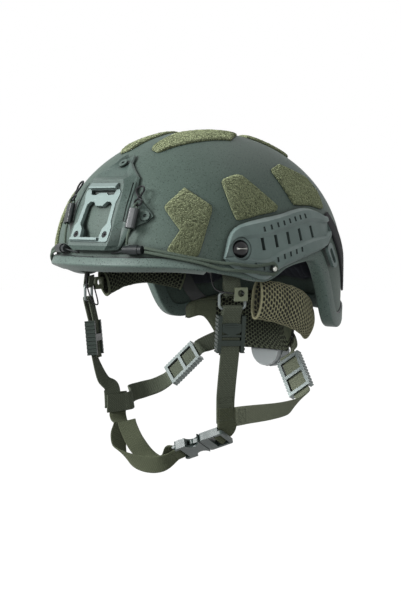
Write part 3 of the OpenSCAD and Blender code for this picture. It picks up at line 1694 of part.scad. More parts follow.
// Round bar that the webbing wraps
module strap_bar(x) {
  translate([x, 0, 0]) cylinder(d = strap_bar_d, h = 2 * slot_half + 3, center = true, $fn = 40);
}

module chin_socket() {
  color(HARD_BLACK)
  at_buckle() {
    strap_bar(socket_foot + strap_bar_d / 2);
    difference() {
      union() {
        buckle_body(socket_foot + strap_bar_d, socket_mouth, buckle_w, buckle_t);
        for (side = [0, 1]) mirror([0, 0, side])
          translate([socket_foot + strap_bar_d / 2, -strap_bar_d / 2, slot_half])
            cube([strap_hole_l, strap_bar_d, 2]);
      }
      translate([cavity_x, -cavity_y, -cavity_z]) cube([20, 2 * cavity_y, 2 * cavity_z]);
      for (side = [-1, 1])
        translate([release_x, 0, side * buckle_w / 2]) rotate([90, 0, 0])
          cylinder(r = release_r, h = buckle_t + 2, center = true, $fn = 48);
      translate([socket_foot, -buckle_t, -slot_half])
        cube([strap_bar_d + strap_hole_l, 2 * buckle_t, 2 * slot_half]);
    }
  }
}

module chin_plug() {
  base = socket_mouth + run_gap;
  w = buckle_w - 1.4;
  prong_z = cavity_z - run_gap;
  prong_y = cavity_y - run_gap;
  color(HARD_BLACK)
  at_buckle() {
    difference() {
      buckle_body(base, plug_end, w, buckle_t - 0.8);
      translate([plug_end - plug_end_l - plug_hole_l, -buckle_t, -slot_half])
        cube([plug_hole_l, 2 * buckle_t, 2 * slot_half]);
      // The end lies low, so that the webbing runs over it
      translate([plug_end - plug_end_l - 1, -0.2, -buckle_w]) cube([20, buckle_t, 2 * buckle_w]);
    }
    strap_bar(plug_bar);
    // Two side prongs with rounded shoulders and a middle tongue
    for (side = [0, 1]) mirror([0, 0, side]) {
      translate([base - 9, -prong_y, prong_z - 3.2]) cube([9.5, 2 * prong_y, 2.6]);
      translate([base - 9, 0, prong_z - 2.6]) rotate([90, 0, 0])
        cylinder(r = 2.6, h = 2 * prong_y, center = true, $fn = 32);
    }
    translate([base - 11, -prong_y, -1.9]) cube([11.5, 2 * prong_y, 3.8]);
  }
}

// Chin strap: a sling from the far junction to the socket's bar, with its free end
// folded back inside. Points are in the helmet's frame, heights from the lowest run.
function sling(x, y, up) = [x, y, up - chin_drop];

module chin_strap() {
  w0 = [-right_w[0], right_w[1], 0];
  top = [-junction[0], junction[1], junction[2]] - (web_gap + 0.1) * face_normal(w0) + 8 * w0 + [0, 0, 4];
  foot = socket_foot + strap_bar_d / 2;
  w9 = -buckle_w_dir;
  color(WEB_GREEN)
  ribbon([
    [top + [0, 0, 5], w0],
    [top, w0],
    [top + [0, -0.6, -8], w0],
    [top + [0, -1.4, -16], w0],
    [(top + [0, -1.4, -16] + sling(-60, -47, 28.5)) / 2 + [-1.5, 0, 0], [0.2, 0.97, 0]],
    [sling(-60, -47, 28.5), [0.15, 0.95, -0.1]],
    [sling(-54, -57, 18.5), [0.3, 0.85, -0.35]],
    [sling(-44, -64, 8), [0.3, 0.7, -0.6]],
    [sling(-27, -68, 2), [0.2, 0.5, -0.85]],
    [sling(-6.5, -69, 0), [0.1, 0.35, -0.93]],
    [sling(12, -68.5, 2.6), [0, 0.45, -0.88]],
    [buckle_point(foot - 7, -bar_wrap - 0.8), w9],
    [buckle_point(foot - 3.5, -bar_wrap - 0.2), w9],
    [buckle_point(foot, -bar_wrap), w9],
    [buckle_point(foot + bar_wrap * 0.75, -bar_wrap * 0.75), w9],
    [buckle_point(foot + bar_wrap * 1.05, 0), w9],
    [buckle_point(foot + bar_wrap * 0.75, bar_wrap * 0.75), w9],
    [buckle_point(foot, bar_wrap), w9],
    [buckle_point(foot - 3, bar_wrap + 0.4), w9],
    [buckle_point(foot - 6, bar_wrap + 1.4), w9],
    [sling(14, -59, 7.5), [-0.05, 0.95, -0.3]],
    [sling(-2, -57, 4.5), [0.1, 0.97, -0.1]],
    [sling(-19.6, -55.4, 6.5), [0.35, 0.85, 0.3]],
    [sling(-34, -54, 16), [0.45, 0.7, 0.5]],
    [sling(-48, -49, 27), [0.45, 0.75, 0.45]],
    [sling(-54, -46, 33), [0.4, 0.8, 0.4]]
  ], web_w, web_t, 2);
}

// Short strap from the plug's bar up over the near junction
module chin_tail() {
  bar = plug_bar;
  w9 = -buckle_w_dir;
  over = junction + (web_gap + 0.25) * face_normal(left_w);
  color(WEB_GREEN)
  ribbon([
    [buckle_point(plug_end + 1, 2 * web_gap + 0.2 + run_gap), w9],
    [buckle_point(bar + 5, 2 * web_gap + 0.2 + run_gap), w9],
    [buckle_point(bar, bar_wrap + 0.6), w9],
    [buckle_point(bar - bar_wrap * 0.75, bar_wrap * 0.8), w9],
    [buckle_point(bar - bar_wrap * 1.05, 0), w9],
    [buckle_point(bar - bar_wrap * 0.75, -bar_wrap * 0.75), w9],
    [buckle_point(bar, -bar_wrap), w9],
    [buckle_point(bar + bar_wrap * 1.15, -0.4), w9],
    [buckle_point(bar + bar_wrap * 1.15 + 1.6, web_gap * 0.6), w9],
    [buckle_point(plug_end - 1, web_gap + 0.3), w9],
    [buckle_point(plug_end + 1.6, web_gap + 1.8, 1.6), w9 + 0.25 * buckle_dir],
    [over + [0.9, 0.2, -7.2], w9 + 0.6 * buckle_dir],
    [over, left_w],
    [over + [0, 0, 8], left_w]
  ], web_w, web_t, 2);
}

shell();
edge_trim();
shroud_base();
shroud_insert();
shroud_screws();
insert_screws();
patch_front_left();
patch_front_right();
patch_middle_left();
patch_middle_right();
patch_rear_left();
patch_rear_right();
patch_top_left();
patch_top_right();
patch_crown_left();
patch_crown_right();
patch_back();
rail_left();
rail_right();
rail_bolts();
bungee_posts();
bungee_left();
bungee_right();
bungee_guides();
lanyards();
snap_hooks();
lanyard_locks();
rear_keepers();
pad_front();
pad_side_left();
pad_side_right();
pad_rear_left();
pad_rear_right();
pad_back();
pad_crown();
nape_cradle();
nape_pad();
fit_dial();
sleeve_left();
sleeve_right();
lace_left();
lace_right();
lace_clips();
anchor_tabs();
strap_rings();
front_strap_left();
front_strap_right();
adjusters();
adjuster_lever_left();
adjuster_lever_right();
rear_strap_left();
rear_strap_right();
cam_frames();
cam_lever_left();
cam_lever_right();
chin_strap();
chin_socket();
chin_plug();
chin_tail();
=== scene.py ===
"""Looks of a high-cut helmet: smooth shell, hardware, padded liner and webbing harness.

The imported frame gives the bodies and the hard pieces. The smooth and soft pieces are built
here from the same outlines and sizes as the solids. Lengths are in millimetres until a mesh
is made, x runs to the wearer's left, -y out of the forehead and z up.
"""

from __future__ import annotations

import json
import logging
import math
from dataclasses import dataclass
from enum import Enum
from typing import Callable, Iterable, Sequence

import bmesh
import bpy
import numpy as np
from mathutils import Matrix, Vector

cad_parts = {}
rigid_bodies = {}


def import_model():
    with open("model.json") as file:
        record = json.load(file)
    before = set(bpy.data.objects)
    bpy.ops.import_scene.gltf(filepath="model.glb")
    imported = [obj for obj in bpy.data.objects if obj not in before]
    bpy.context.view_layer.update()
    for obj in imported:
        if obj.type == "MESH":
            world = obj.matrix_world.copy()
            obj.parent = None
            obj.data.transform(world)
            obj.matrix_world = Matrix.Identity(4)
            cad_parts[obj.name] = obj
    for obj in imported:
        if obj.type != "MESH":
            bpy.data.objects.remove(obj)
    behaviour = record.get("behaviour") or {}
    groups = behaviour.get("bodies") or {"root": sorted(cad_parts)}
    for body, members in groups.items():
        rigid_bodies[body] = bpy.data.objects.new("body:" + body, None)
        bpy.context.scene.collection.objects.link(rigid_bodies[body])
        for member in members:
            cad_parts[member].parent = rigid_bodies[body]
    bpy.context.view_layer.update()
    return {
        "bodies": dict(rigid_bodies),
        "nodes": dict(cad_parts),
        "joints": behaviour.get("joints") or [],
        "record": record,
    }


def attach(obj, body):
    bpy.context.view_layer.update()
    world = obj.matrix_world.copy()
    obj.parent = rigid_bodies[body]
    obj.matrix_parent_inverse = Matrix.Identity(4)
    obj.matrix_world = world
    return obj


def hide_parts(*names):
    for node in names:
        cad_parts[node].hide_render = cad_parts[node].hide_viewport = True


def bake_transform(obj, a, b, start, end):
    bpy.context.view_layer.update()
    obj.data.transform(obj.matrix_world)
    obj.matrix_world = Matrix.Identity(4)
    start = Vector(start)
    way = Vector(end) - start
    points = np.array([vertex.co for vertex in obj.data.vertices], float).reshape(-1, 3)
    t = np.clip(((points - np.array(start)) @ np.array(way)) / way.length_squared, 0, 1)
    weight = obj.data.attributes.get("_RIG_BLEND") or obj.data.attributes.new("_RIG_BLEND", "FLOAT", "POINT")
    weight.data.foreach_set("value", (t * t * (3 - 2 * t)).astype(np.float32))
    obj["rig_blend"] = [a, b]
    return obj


Array = np.ndarray
Mesh = bpy.types.Mesh
Piece = bpy.types.Object
Socket = bpy.types.NodeSocket
Pair = tuple[float, float]
Places = tuple[Pair, ...]
Net = tuple[Places, ...]
Triple = tuple[float, float, float]
Route = tuple[tuple[float, ...], ...]
Key = tuple[Array, Array]
LOG = logging.getLogger("helmet")
MM = 0.001
ROOT_BODY = "helmet"
CHIN_BODY = "chin_half"
MIRROR = np.array([-1.0, 1.0, 1.0])
UP = np.array([0.0, 0.0, 1.0])
SIDES = {"left": False, "right": True}


def unit(v: Array) -> Array:
    """Returns vectors scaled to length one.

    Args:
        v: Vectors along the last axis.

    Returns:
        The unit vectors, in an array of the same shape.
    """
    v = np.asarray(v, dtype=float)
    return v / np.maximum(np.linalg.norm(v, axis=-1, keepdims=True), 1e-12)


def square_to(v: Array, along: Array) -> Array:
    """Returns the directions v made square to others: v less its part along them, scaled to one.

    Args:
        v: Vectors along the last axis.
        along: Unit vectors that the result is square to.

    Returns:
        Unit vectors.
    """
    v = np.asarray(v, dtype=float)
    return unit(v - (v * along).sum(-1, keepdims=True) * along)


def from_local(origin: Array, along: Array, wide: Array, points: Array) -> Array:
    """Carries points of a local frame to the helmet's frame: the origin plus the points times the axes.

    Args:
        origin: Origin of the local frame.
        along: Direction of local x.
        wide: Direction near local z.
        points: Local points along the last axis.

    Returns:
        The points in the helmet's frame.
    """
    x = unit(along)
    z = square_to(wide, x)
    return np.asarray(origin) + np.asarray(points) @ np.array([x, np.cross(z, x), z])


def spread(*values: Array) -> list[Array]:
    """Returns values as arrays of floats of one shape."""
    return np.broadcast_arrays(*(np.asarray(v, dtype=float) for v in values))


def turned(a: Array) -> Array:
    """Returns bearings brought between -180 and 180 degrees."""
    return (np.asarray(a, dtype=float) + 180) % 360 - 180


def round_angles(sides: int) -> Array:
    """Returns the angles of evenly spaced points on a circle."""
    return 2 * np.pi * np.arange(sides) / sides


def run_along(line: Array) -> Array:
    """Returns the length run along a line of points at each of them."""
    return np.concatenate([[0], np.cumsum(np.linalg.norm(np.diff(line, axis=0), axis=1))])


def spline(keys: Array, steps: int) -> Array:
    """Returns a Catmull-Rom line through keys: a cubic between two keys that leans on their neighbours.

    Args:
        keys: Key points as rows.
        steps: Steps between two keys.

    Returns:
        Points as rows, the last key included.
    """
    p = np.asarray(keys, dtype=float)
    i = np.arange(len(p) - 1)
    a, b, c, d = p[np.maximum(i - 1, 0)], p[i], p[i + 1], p[np.minimum(i + 2, len(p) - 1)]
    u = (np.arange(steps) / steps)[None, :, None]
    a, b, c, d = (q[:, None, :] for q in (a, b, c, d))
    square, cube = 2 * a - 5 * b + 4 * c - d, 3 * b - a - 3 * c + d
    line = 0.5 * (2 * b + (c - a) * u + square * u**2 + cube * u**3)
    return np.vstack([line.reshape(-1, p.shape[1]), p[-1:]])


def tangents(line: Array) -> Array:
    """Returns unit tangents of a line of points."""
    ends = np.vstack([line[:1], line, line[-1:]])
    return unit(ends[2:] - ends[:-2])


def smooth_at(table: Sequence[Sequence[float]], x: Array) -> Array:
    """Evaluates a smooth cubic through a table of points, level at both ends.

    Args:
        table: Points as [x, y] rows with rising x.
        x: Where to evaluate it.

    Returns:
        Values with the shape of x.
    """
    t = np.asarray(table, dtype=float)
    slope = np.zeros(len(t))
    slope[1:-1] = (t[2:, 1] - t[:-2, 1]) / (t[2:, 0] - t[:-2, 0])
    i = np.clip(np.searchsorted(t[:, 0], x, side="right") - 1, 0, len(t) - 2)
    h = t[i + 1, 0] - t[i, 0]
    u = (x - t[i, 0]) / h
    return (
        (2 * u**3 - 3 * u**2 + 1) * t[i, 1]
        + (u**3 - 2 * u**2 + u) * h * slope[i]
        + (3 * u**2 - 2 * u**3) * t[i + 1, 1]
        + (u**3 - u**2) * h * slope[i + 1]
    )


def smooth_step(x: Array) -> Array:
    """Returns the smooth step of x, clipped to 0 and 1."""
    x = np.clip(x, 0.0, 1.0)
    return x * x * (3 - 2 * x)


def oval_radius(a: Array, half_w: float, reach: Array, power: Array) -> Array:
    """Returns the radius of a superellipse at bearings from its front.

    Args:
        a: Bearings in degrees.
        half_w: Half width.
        reach: Half length.
        power: 2 for an ellipse, more for a squarer plan.

    Returns:
        Radii.
    """
    s, c = np.abs(np.sin(np.radians(a))), np.abs(np.cos(np.radians(a)))
    return ((s / half_w) ** power + (c / reach) ** power) ** (-1 / power)


@dataclass(frozen=True)
class ShellForm:
    """The shell's outer surface and edge, in mm and degrees.

    A place on it is a bearing from the front towards the wearer's left and a v, which is the
    height from the belt below it and an angle from 0 to 90 at the crown above it.
    """

    half_w: float = 118.0
    front: float = 136.0
    rear: float = 138.0
    crown: float = 124.0
    belt: float = 8.0
    wall: float = 8.0
    square: float = 2.4
    full: float = 2.1
    flare: float = 6.0
    lip_h: float = 14.0
    lip_spread: float = 51.6
    tuck: float = 0.01
    tuck_h: float = 70.0
    bearing_step: float = 0.2
    v_step: float = 0.05
    pole_v: float = 89.0
    pole_r: float = 2.0
    edge: Places = (
        (0, 3), (30, 3), (44, 0.5), (57, -4.5), (64.5, -8.5), (70, -9.5), (75.5, -5.5), (81, 0.8),
        (88, 4.6), (94, 6.4), (99, 7.6), (103.2, 5.5), (107, -4), (112, -24), (116, -42),
        (120, -53), (125.5, -57), (132, -55), (142, -48.5), (158, -44.5), (180, -43.5),
    )

    def v_of(self, z: Array) -> Array:
        """Returns v at height z."""
        rise = np.clip((z - self.belt) / (self.crown - self.belt), 0, 1)
        return np.where(z < self.belt, z - self.belt, np.degrees(np.arcsin(rise ** (self.full / 2))))

    def z_of(self, v: Array) -> Array:
        """Returns the height at v."""
        rise = np.sin(np.radians(np.clip(v, 0, 90))) ** (2 / self.full)
        return np.where(v < 0, self.belt + v, self.belt + (self.crown - self.belt) * rise)

    def radius(self, a: Array, v: Array) -> Array:
        """Returns the distance from the head's axis.

        The plan's superellipse is drawn in by a cosine above the belt and by a square below it,
        and a bell over the bearing adds the brim's flare.

        Args:
            a: Bearings.
            v: Their v.

        Returns:
            Radii in mm.
        """
        z = self.z_of(v)
        rise = np.where(v <= 0, 0, (z - self.belt) / (self.crown - self.belt))
        below = 1 - self.tuck * ((self.belt - z) / self.tuck_h) ** 2
        above = np.cos(np.radians(np.clip(v, 0, 90))) ** (2 / self.full)
        bell = np.exp(-((turned(a) / self.lip_spread) ** 2))
        lip = self.flare * bell * np.clip(1 - z / self.lip_h, 0, 1) ** 2
        reach = np.where(np.abs(turned(a)) < 90, self.front, self.rear)
        plan = oval_radius(a, self.half_w, reach, self.square - (self.square - 2) * rise)
        return plan * np.where(v <= 0, below, above) + lip

    def point(self, a: Array, v: Array) -> Array:
        """Returns surface points: the radius turned to the bearing, at the height of v.

        Args:
            a: Bearings.
            v: Their v.

        Returns:
            The points.
        """
        a, v = spread(a, v)
        r = self.radius(a, v)
        return np.stack([r * np.sin(np.radians(a)), -r * np.cos(np.radians(a)), self.z_of(v)], axis=-1)

    def normal(self, a: Array, v: Array) -> Array:
        """Returns outward normals: the cross product of two small steps, and up at the crown.

        Args:
            a: Bearings.
            v: Their v.

        Returns:
            Unit vectors.
        """
        a, v = spread(a, v)
        east = self.point(a + self.bearing_step, v) - self.point(a - self.bearing_step, v)
        up = self.point(a, v + self.v_step) - self.point(a, v - self.v_step)
        return np.where((v > self.pole_v)[..., None], UP, unit(np.cross(east, up)))

    def normal_z(self, a: Array, z: Array) -> Array:
        """Returns the outward normal at bearing a and height z."""
        return self.normal(a, self.v_of(np.float64(z)))

    def skin(self, a: Array, v: Array, off: Array = 0.0) -> Array:
        """Returns the surface point pushed outward by off."""
        return self.point(a, v) + np.asarray(off, float)[..., None] * self.normal(a, v)

    def skin_z(self, a: Array, z: Array, off: Array = 0.0) -> Array:
        """Returns the surface point at bearing a and height z, pushed outward by off."""
        return self.skin(a, self.v_of(np.asarray(z, float)), off)

    def skin_plan(self, x: Array, y: Array, off: Array) -> Array:
        """Returns surface points over plan positions on the crown.

        The v of a plan radius is found by repeating the inverse of the radius formula.

        Args:
            x: Plan positions to the left.
            y: Plan positions to the rear.
            off: Distance that the points are pushed outward.

        Returns:
            The points.
        """
        a, r = np.degrees(np.arctan2(x, -y)), np.hypot(x, y)
        v = np.full(np.shape(a), 60.0)
        for _ in range(8):
            full = self.radius(a, v) / np.cos(np.radians(v)) ** (2 / self.full)
            v = np.degrees(np.arccos(np.clip((r / full) ** (self.full / 2), 0, 1)))
        top = np.stack([x, y, self.crown + np.broadcast_to(off, np.shape(x))], axis=-1)
        return np.where((r < self.pole_r)[..., None], top, self.skin(a, v, off))

    def edge_z(self, a: Array) -> Array:
        """Returns the height of the shell's edge at bearing a."""
        return smooth_at(self.edge, np.abs(turned(a)))

    def off_edge(self, a: Array, u: Array, off: Array) -> Array:
        """Steps from the edge up the surface, square to the edge.

        Args:
            a: Bearings on the edge.
            u: Distances up the surface; below the edge the step is straight.
            off: Distances outward.

        Returns:
            The points.
        """
        a, u, off = spread(a, u, off)
        at = self.v_of(self.edge_z(a))
        after, before = (self.skin_z(b, self.edge_z(b)) for b in (a + 0.5, a - 0.5))
        run = unit(after - before)
        up = np.cross(self.normal(a, at), run)
        east = np.stack([np.cos(np.radians(a)), np.sin(np.radians(a)), 0 * a], axis=-1)
        turn = np.degrees((up * east).sum(-1) * u / self.radius(a, at))
        above = self.skin_z(a + turn, self.edge_z(a) + up[..., 2] * u, off)
        below = self.skin_z(a, self.edge_z(a), off) + u[..., None] * up
        return np.where((u < 0)[..., None], below, above)


SHELL = ShellForm()


@dataclass(frozen=True)
class Sizes:
    """Sizes shared with the solids, in mm."""

    skin_gap: float = 0.35
    sunk: float = 0.1
    run_gap: float = 0.3
    trim_gap: float = 0.5
    trim_seat: float = 1.4
    trim_t: float = 1.6
    trim_web: float = 3.0
    trim_leg: float = 6.0
    trim_leg_rear: float = 10.0
    patch_t: float = 2.4
    rail_t: float = 7.4
    bungee_d: float = 2.8
    lace_d: float = 1.4
    post_d: float = 4.6
    pad_t: float = 18.0
    pad_edge: float = 9.0
    pad_gap: float = 0.8
    pad_draw: float = 0.93
    nape_w: float = 80.0
    nape_reach: float = 92.0
    nape_h: float = 58.0
    nape_t: float = 9.0
    nape_top: float = -30.0
    nape_span: float = 53.0
    wing_drop: float = 14.0
    wing_h: float = 17.0
    cradle_t: float = 2.2
    sleeve_t: float = 14.0
    sleeve_wall: float = 2.2
    web_w: float = 17.5
    web_t: float = 1.5
    tab_w: float = 15.5
    junction_drop: float = 135.0
    chin_drop: float = 185.0
    adjuster_l: float = 33.0
    cam_l: float = 40.0
    buckle_l: float = 52.0
    divider_t: float = 1.5
    strap_bar_d: float = 2.8
    plug_hole_l: float = 11.8
    plug_end_l: float = 3.0
    ring_h: float = 17.0
    wire_d: float = 2.6

    @property
    def web_gap(self) -> float:
        """Pitch of two layers of webbing that lie on each other."""
        return self.web_t + self.run_gap


MADE = Sizes()


# Meshes from grids of points


def build_mesh(name: str, points: Array, faces: Array, uv: Array | None = None) -> Mesh:
    """Makes a smooth mesh in metres.

    Args:
        name: Name of the mesh.
        points: Points in mm as rows.
        faces: Rows of four indices, the last -1 on a triangle.
        uv: Pattern coordinates in mm per point, or None.

    Returns:
        The mesh, with its normals outward and a UV layer in metres where uv is given.
    """
    mesh = bpy.data.meshes.new(name)
    rows = [f[:3] if f[3] < 0 else f for f in faces.tolist()]
    mesh.from_pydata((points.reshape(-1, 3) * MM).tolist(), [], rows)
    if uv is not None:
        index = np.empty(len(mesh.loops), dtype=np.int32)
        mesh.loops.foreach_get("vertex_index", index)
        layer = mesh.uv_layers.new(name="UVMap")
        layer.data.foreach_set("uv", (uv.reshape(-1, 2)[index] * MM).astype(np.float32).ravel())
    shade_smooth(mesh)
    face_outward(mesh)
    return mesh


def shade_smooth(mesh: Mesh) -> None:
    """Marks every face of a mesh as smooth."""
    mesh.polygons.foreach_set("use_smooth", np.ones(len(mesh.polygons), dtype=bool))


def add_object(name: str, data: bpy.types.ID) -> Piece:
    """Adds an object with that mesh, lamp or camera to the scene.

    Args:
        name: Name of the object.
        data: What it shows.

    Returns:
        The object, at the origin.
    """
    obj = bpy.data.objects.new(name, data)
    bpy.context.scene.collection.objects.link(obj)
    return obj


def face_outward(mesh: Mesh) -> None:
    """Turns the faces of a closed mesh outward.

    Args:
        mesh: Mesh to turn.
    """
    bm = bmesh.new()
    bm.from_mesh(mesh)
    bmesh.ops.recalc_face_normals(bm, faces=bm.faces)
    bm.to_mesh(mesh)
    bm.free()


def grid_faces(rows: int, columns: int, closed: bool, start: int = 0) -> Array:
    """Returns the quads of a grid of points.

    Args:
        rows: Rows of points.
        columns: Points in a row.
        closed: Whether each row closes on itself.
        start: Index of the first point.

    Returns:
        Rows of four indices.
    """
    index = start + np.arange(rows * columns).reshape(rows, columns)
    if closed:
        index = np.hstack([index, index[:, :1]])
    quads = [index[:-1, :-1], index[:-1, 1:], index[1:, 1:], index[1:, :-1]]
    return np.stack(quads, axis=-1).reshape(-1, 4)


def bridge(one: Array, other: Array) -> Array:
    """Returns the quads between two closed rings of indices."""
    return np.stack([one, np.roll(one, -1), np.roll(other, -1), other], axis=-1)


def fan(ring: Array, centre: int) -> Array:
    """Returns triangles from a closed ring of indices to a centre."""
    centres, none = np.full(len(ring), centre), np.full(len(ring), -1)
    return np.stack([ring, np.roll(ring, -1), centres, none], axis=-1)


def loft_mesh(name: str, rings: Array, uv: Array | None = None, capped: bool = True) -> Mesh:
    """Makes a tube through closed rings of points.

    Args:
        name: Name of the mesh.
        rings: Points as rings, points, xyz.
        uv: Pattern coordinates of the same layout, or None.
        capped: Whether the ends are closed; otherwise the last ring meets the first.

    Returns:
        The mesh.
    """
    r, c = rings.shape[:2]
    points = rings.reshape(-1, 3)
    faces = [grid_faces(r, c, True)]
    if capped:
        points = np.vstack([points, rings[0].mean(0), rings[-1].mean(0)])
        faces += [fan(np.arange(c), r * c), fan((r - 1) * c + np.arange(c), r * c + 1)]
        if uv is not None:
            uv = np.vstack([uv.reshape(-1, 2), uv[0].mean(0), uv[-1].mean(0)])
    else:
        faces.append(bridge((r - 1) * c + np.arange(c), np.arange(c)))
    return build_mesh(name, points, np.vstack(faces), uv)


def sheet_mesh(name: str, outer: Array, inner: Array, uv: Array | None = None) -> Mesh:
    """Makes a closed sheet between two grids of points whose borders are joined.

    Args:
        name: Name of the mesh.
        outer: Grid of the outer face.
        inner: Grid of the inner face, of the same shape.
        uv: Pattern coordinates of either face, or None.

    Returns:
        The mesh.
    """
    r, c = outer.shape[:2]
    index = np.arange(r * c).reshape(r, c)
    border = np.concatenate([index[0, :-1], index[:-1, -1], index[-1, :0:-1], index[:0:-1, 0]])
    after = np.roll(border, -1)
    side = np.stack([border, after, after + r * c, border + r * c], axis=-1)
    faces = np.vstack([grid_faces(r, c, False), grid_faces(r, c, False, r * c)[:, ::-1], side])
    both = None if uv is None else np.vstack([uv.reshape(-1, 2)] * 2)
    return build_mesh(name, np.vstack([outer.reshape(-1, 3), inner.reshape(-1, 3)]), faces, both)


def bilinear(net: Array, rows: Array, columns: Array) -> Array:
    """Evaluates a net of control points, straight between neighbours both ways.

    Args:
        net: Control points as rows, columns, values.
        rows: Fractions up the net, 0 to 1.
        columns: Fractions across it, of the same shape.

    Returns:
        Interpolated values.
    """
    net = np.asarray(net, dtype=float)
    r, c = net.shape[0] - 1, net.shape[1] - 1
    i = np.minimum((rows * r).astype(int), r - 1)
    j = np.minimum((columns * c).astype(int), c - 1)
    u, s = (rows * r - i)[..., None], (columns * c - j)[..., None]
    low = (1 - s) * net[i, j] + s * net[i, j + 1]
    high = (1 - s) * net[i + 1, j] + s * net[i + 1, j + 1]
    return (1 - u) * low + u * high


def fractions(rows: int, columns: int) -> tuple[Array, Array]:
    """Returns fraction grids, rising up the rows and across the columns."""
    return np.meshgrid(np.linspace(0, 1, rows), np.linspace(0, 1, columns), indexing="ij")


def pulled_in(rows: Array, columns: Array, amount: float, power: int, size: float = 1.0) -> list[Array]:
    """Draws the corners of a net in: fractions shrink by the product of both sides to a power.

    Args:
        rows: Fractions up the net.
        columns: Fractions across it.
        amount: Share by which a corner is drawn in.
        power: How closely the pull keeps to the corners.
        size: Share of the net's size that is kept.

    Returns:
        The new fractions up and across.
    """
    y, x = 2 * rows - 1, 2 * columns - 1
    pull = size * (1 - amount * np.abs(x * y) ** power)
    return [(side * pull + 1) / 2 for side in (y, x)]


HINT = np.array([0.31, 0.17, 0.94])


def spokes(u: Array, v: Array, sides: int) -> Array:
    """Returns circles of unit spokes, cosine along u plus sine along v.

    Args:
        u: First axes as rows.
        v: Second axes as rows.
        sides: Spokes in a circle.

    Returns:
        Spokes as rows, sides, xyz.
    """
    turn = round_angles(sides)[None, :, None]
    return np.cos(turn) * u[:, None] + np.sin(turn) * v[:, None]


def tube_rings(line: Array, diameter: float, sides: int = 14) -> tuple[Array, Array]:
    """Returns rings round a line and their pattern coordinates.

    Args:
        line: Points of the middle line.
        diameter: Diameter of the tube.
        sides: Points in a ring.

    Returns:
        Rings and pattern coordinates in mm, the length first.
    """
    t = tangents(line)
    u = square_to(HINT, t)
    rings = line[:, None] + diameter / 2 * spokes(u, np.cross(t, u), sides)
    girth = diameter / 2 * round_angles(sides)
    return rings, np.stack(np.broadcast_arrays(run_along(line)[:, None], girth[None, :]), axis=-1)


def strap_axes(keys: Sequence[Key], steps: int) -> tuple[Array, Array, Array]:
    """Returns the middle line of a strap and its own axes.

    Args:
        keys: Pairs of a point and the direction of the strap's width there.
        steps: Steps between two keys.

    Returns:
        Points, width directions and face directions as rows.
    """
    line = spline([k[0] for k in keys], steps)
    t = tangents(line)
    side = square_to(spline([k[1] for k in keys], steps), t)
    return line, side, np.cross(t, side)


def ribbon_rings(keys: Sequence[Key], width: float, thick: float, steps: int) -> tuple[Array, Array]:
    """Returns rings of a strip of webbing: flat faces with arcs of its own thickness as edges.

    Args:
        keys: Pairs of a point and the direction of the strip's width there.
        width: Width of the strip.
        thick: Thickness of the strip.
        steps: Steps between two keys.

    Returns:
        Rings and pattern coordinates in mm, the length first.
    """
    line, side, face = strap_axes(keys, steps)
    points, edge_r, arc = 13, thick * 0.45, np.radians([-60, -20, 20, 60])
    half = width / 2 - edge_r
    across, flat = np.linspace(-half, half, points), np.full(points, 0.5)
    x = np.concatenate([across, half + edge_r * np.cos(arc), across[::-1], -half - edge_r * np.cos(arc)])
    y = np.concatenate([-flat, 0.5 * np.sin(arc), flat, -0.5 * np.sin(arc)]) * thick
    rings = line[:, None] + x[None, :, None] * side[:, None] + y[None, :, None] * face[:, None]
    return rings, np.stack(np.broadcast_arrays(run_along(line)[:, None], x[None, :]), axis=-1)


# Materials


class Pattern(Enum):
    """What a surface is made of, which picks the nodes of its material."""

    PAINT = "paint"
    PILE = "pile"
    MOULDED = "moulded"
    METAL = "metal"
    WEBBING = "webbing"
    BRAID = "braid"
    KNIT = "knit"
    MESH = "mesh"


@dataclass(frozen=True)
class Finish:
    """Colours and gloss of a material. Colours are linear."""

    name: str
    pattern: Pattern
    colour: Triple
    dark: Triple
    light: Triple
    rough: float
    metallic: float = 0.0
    sheen: float = 0.0
    bump: float = 0.3
    pale_under: float | None = None
    specular: float = 0.3


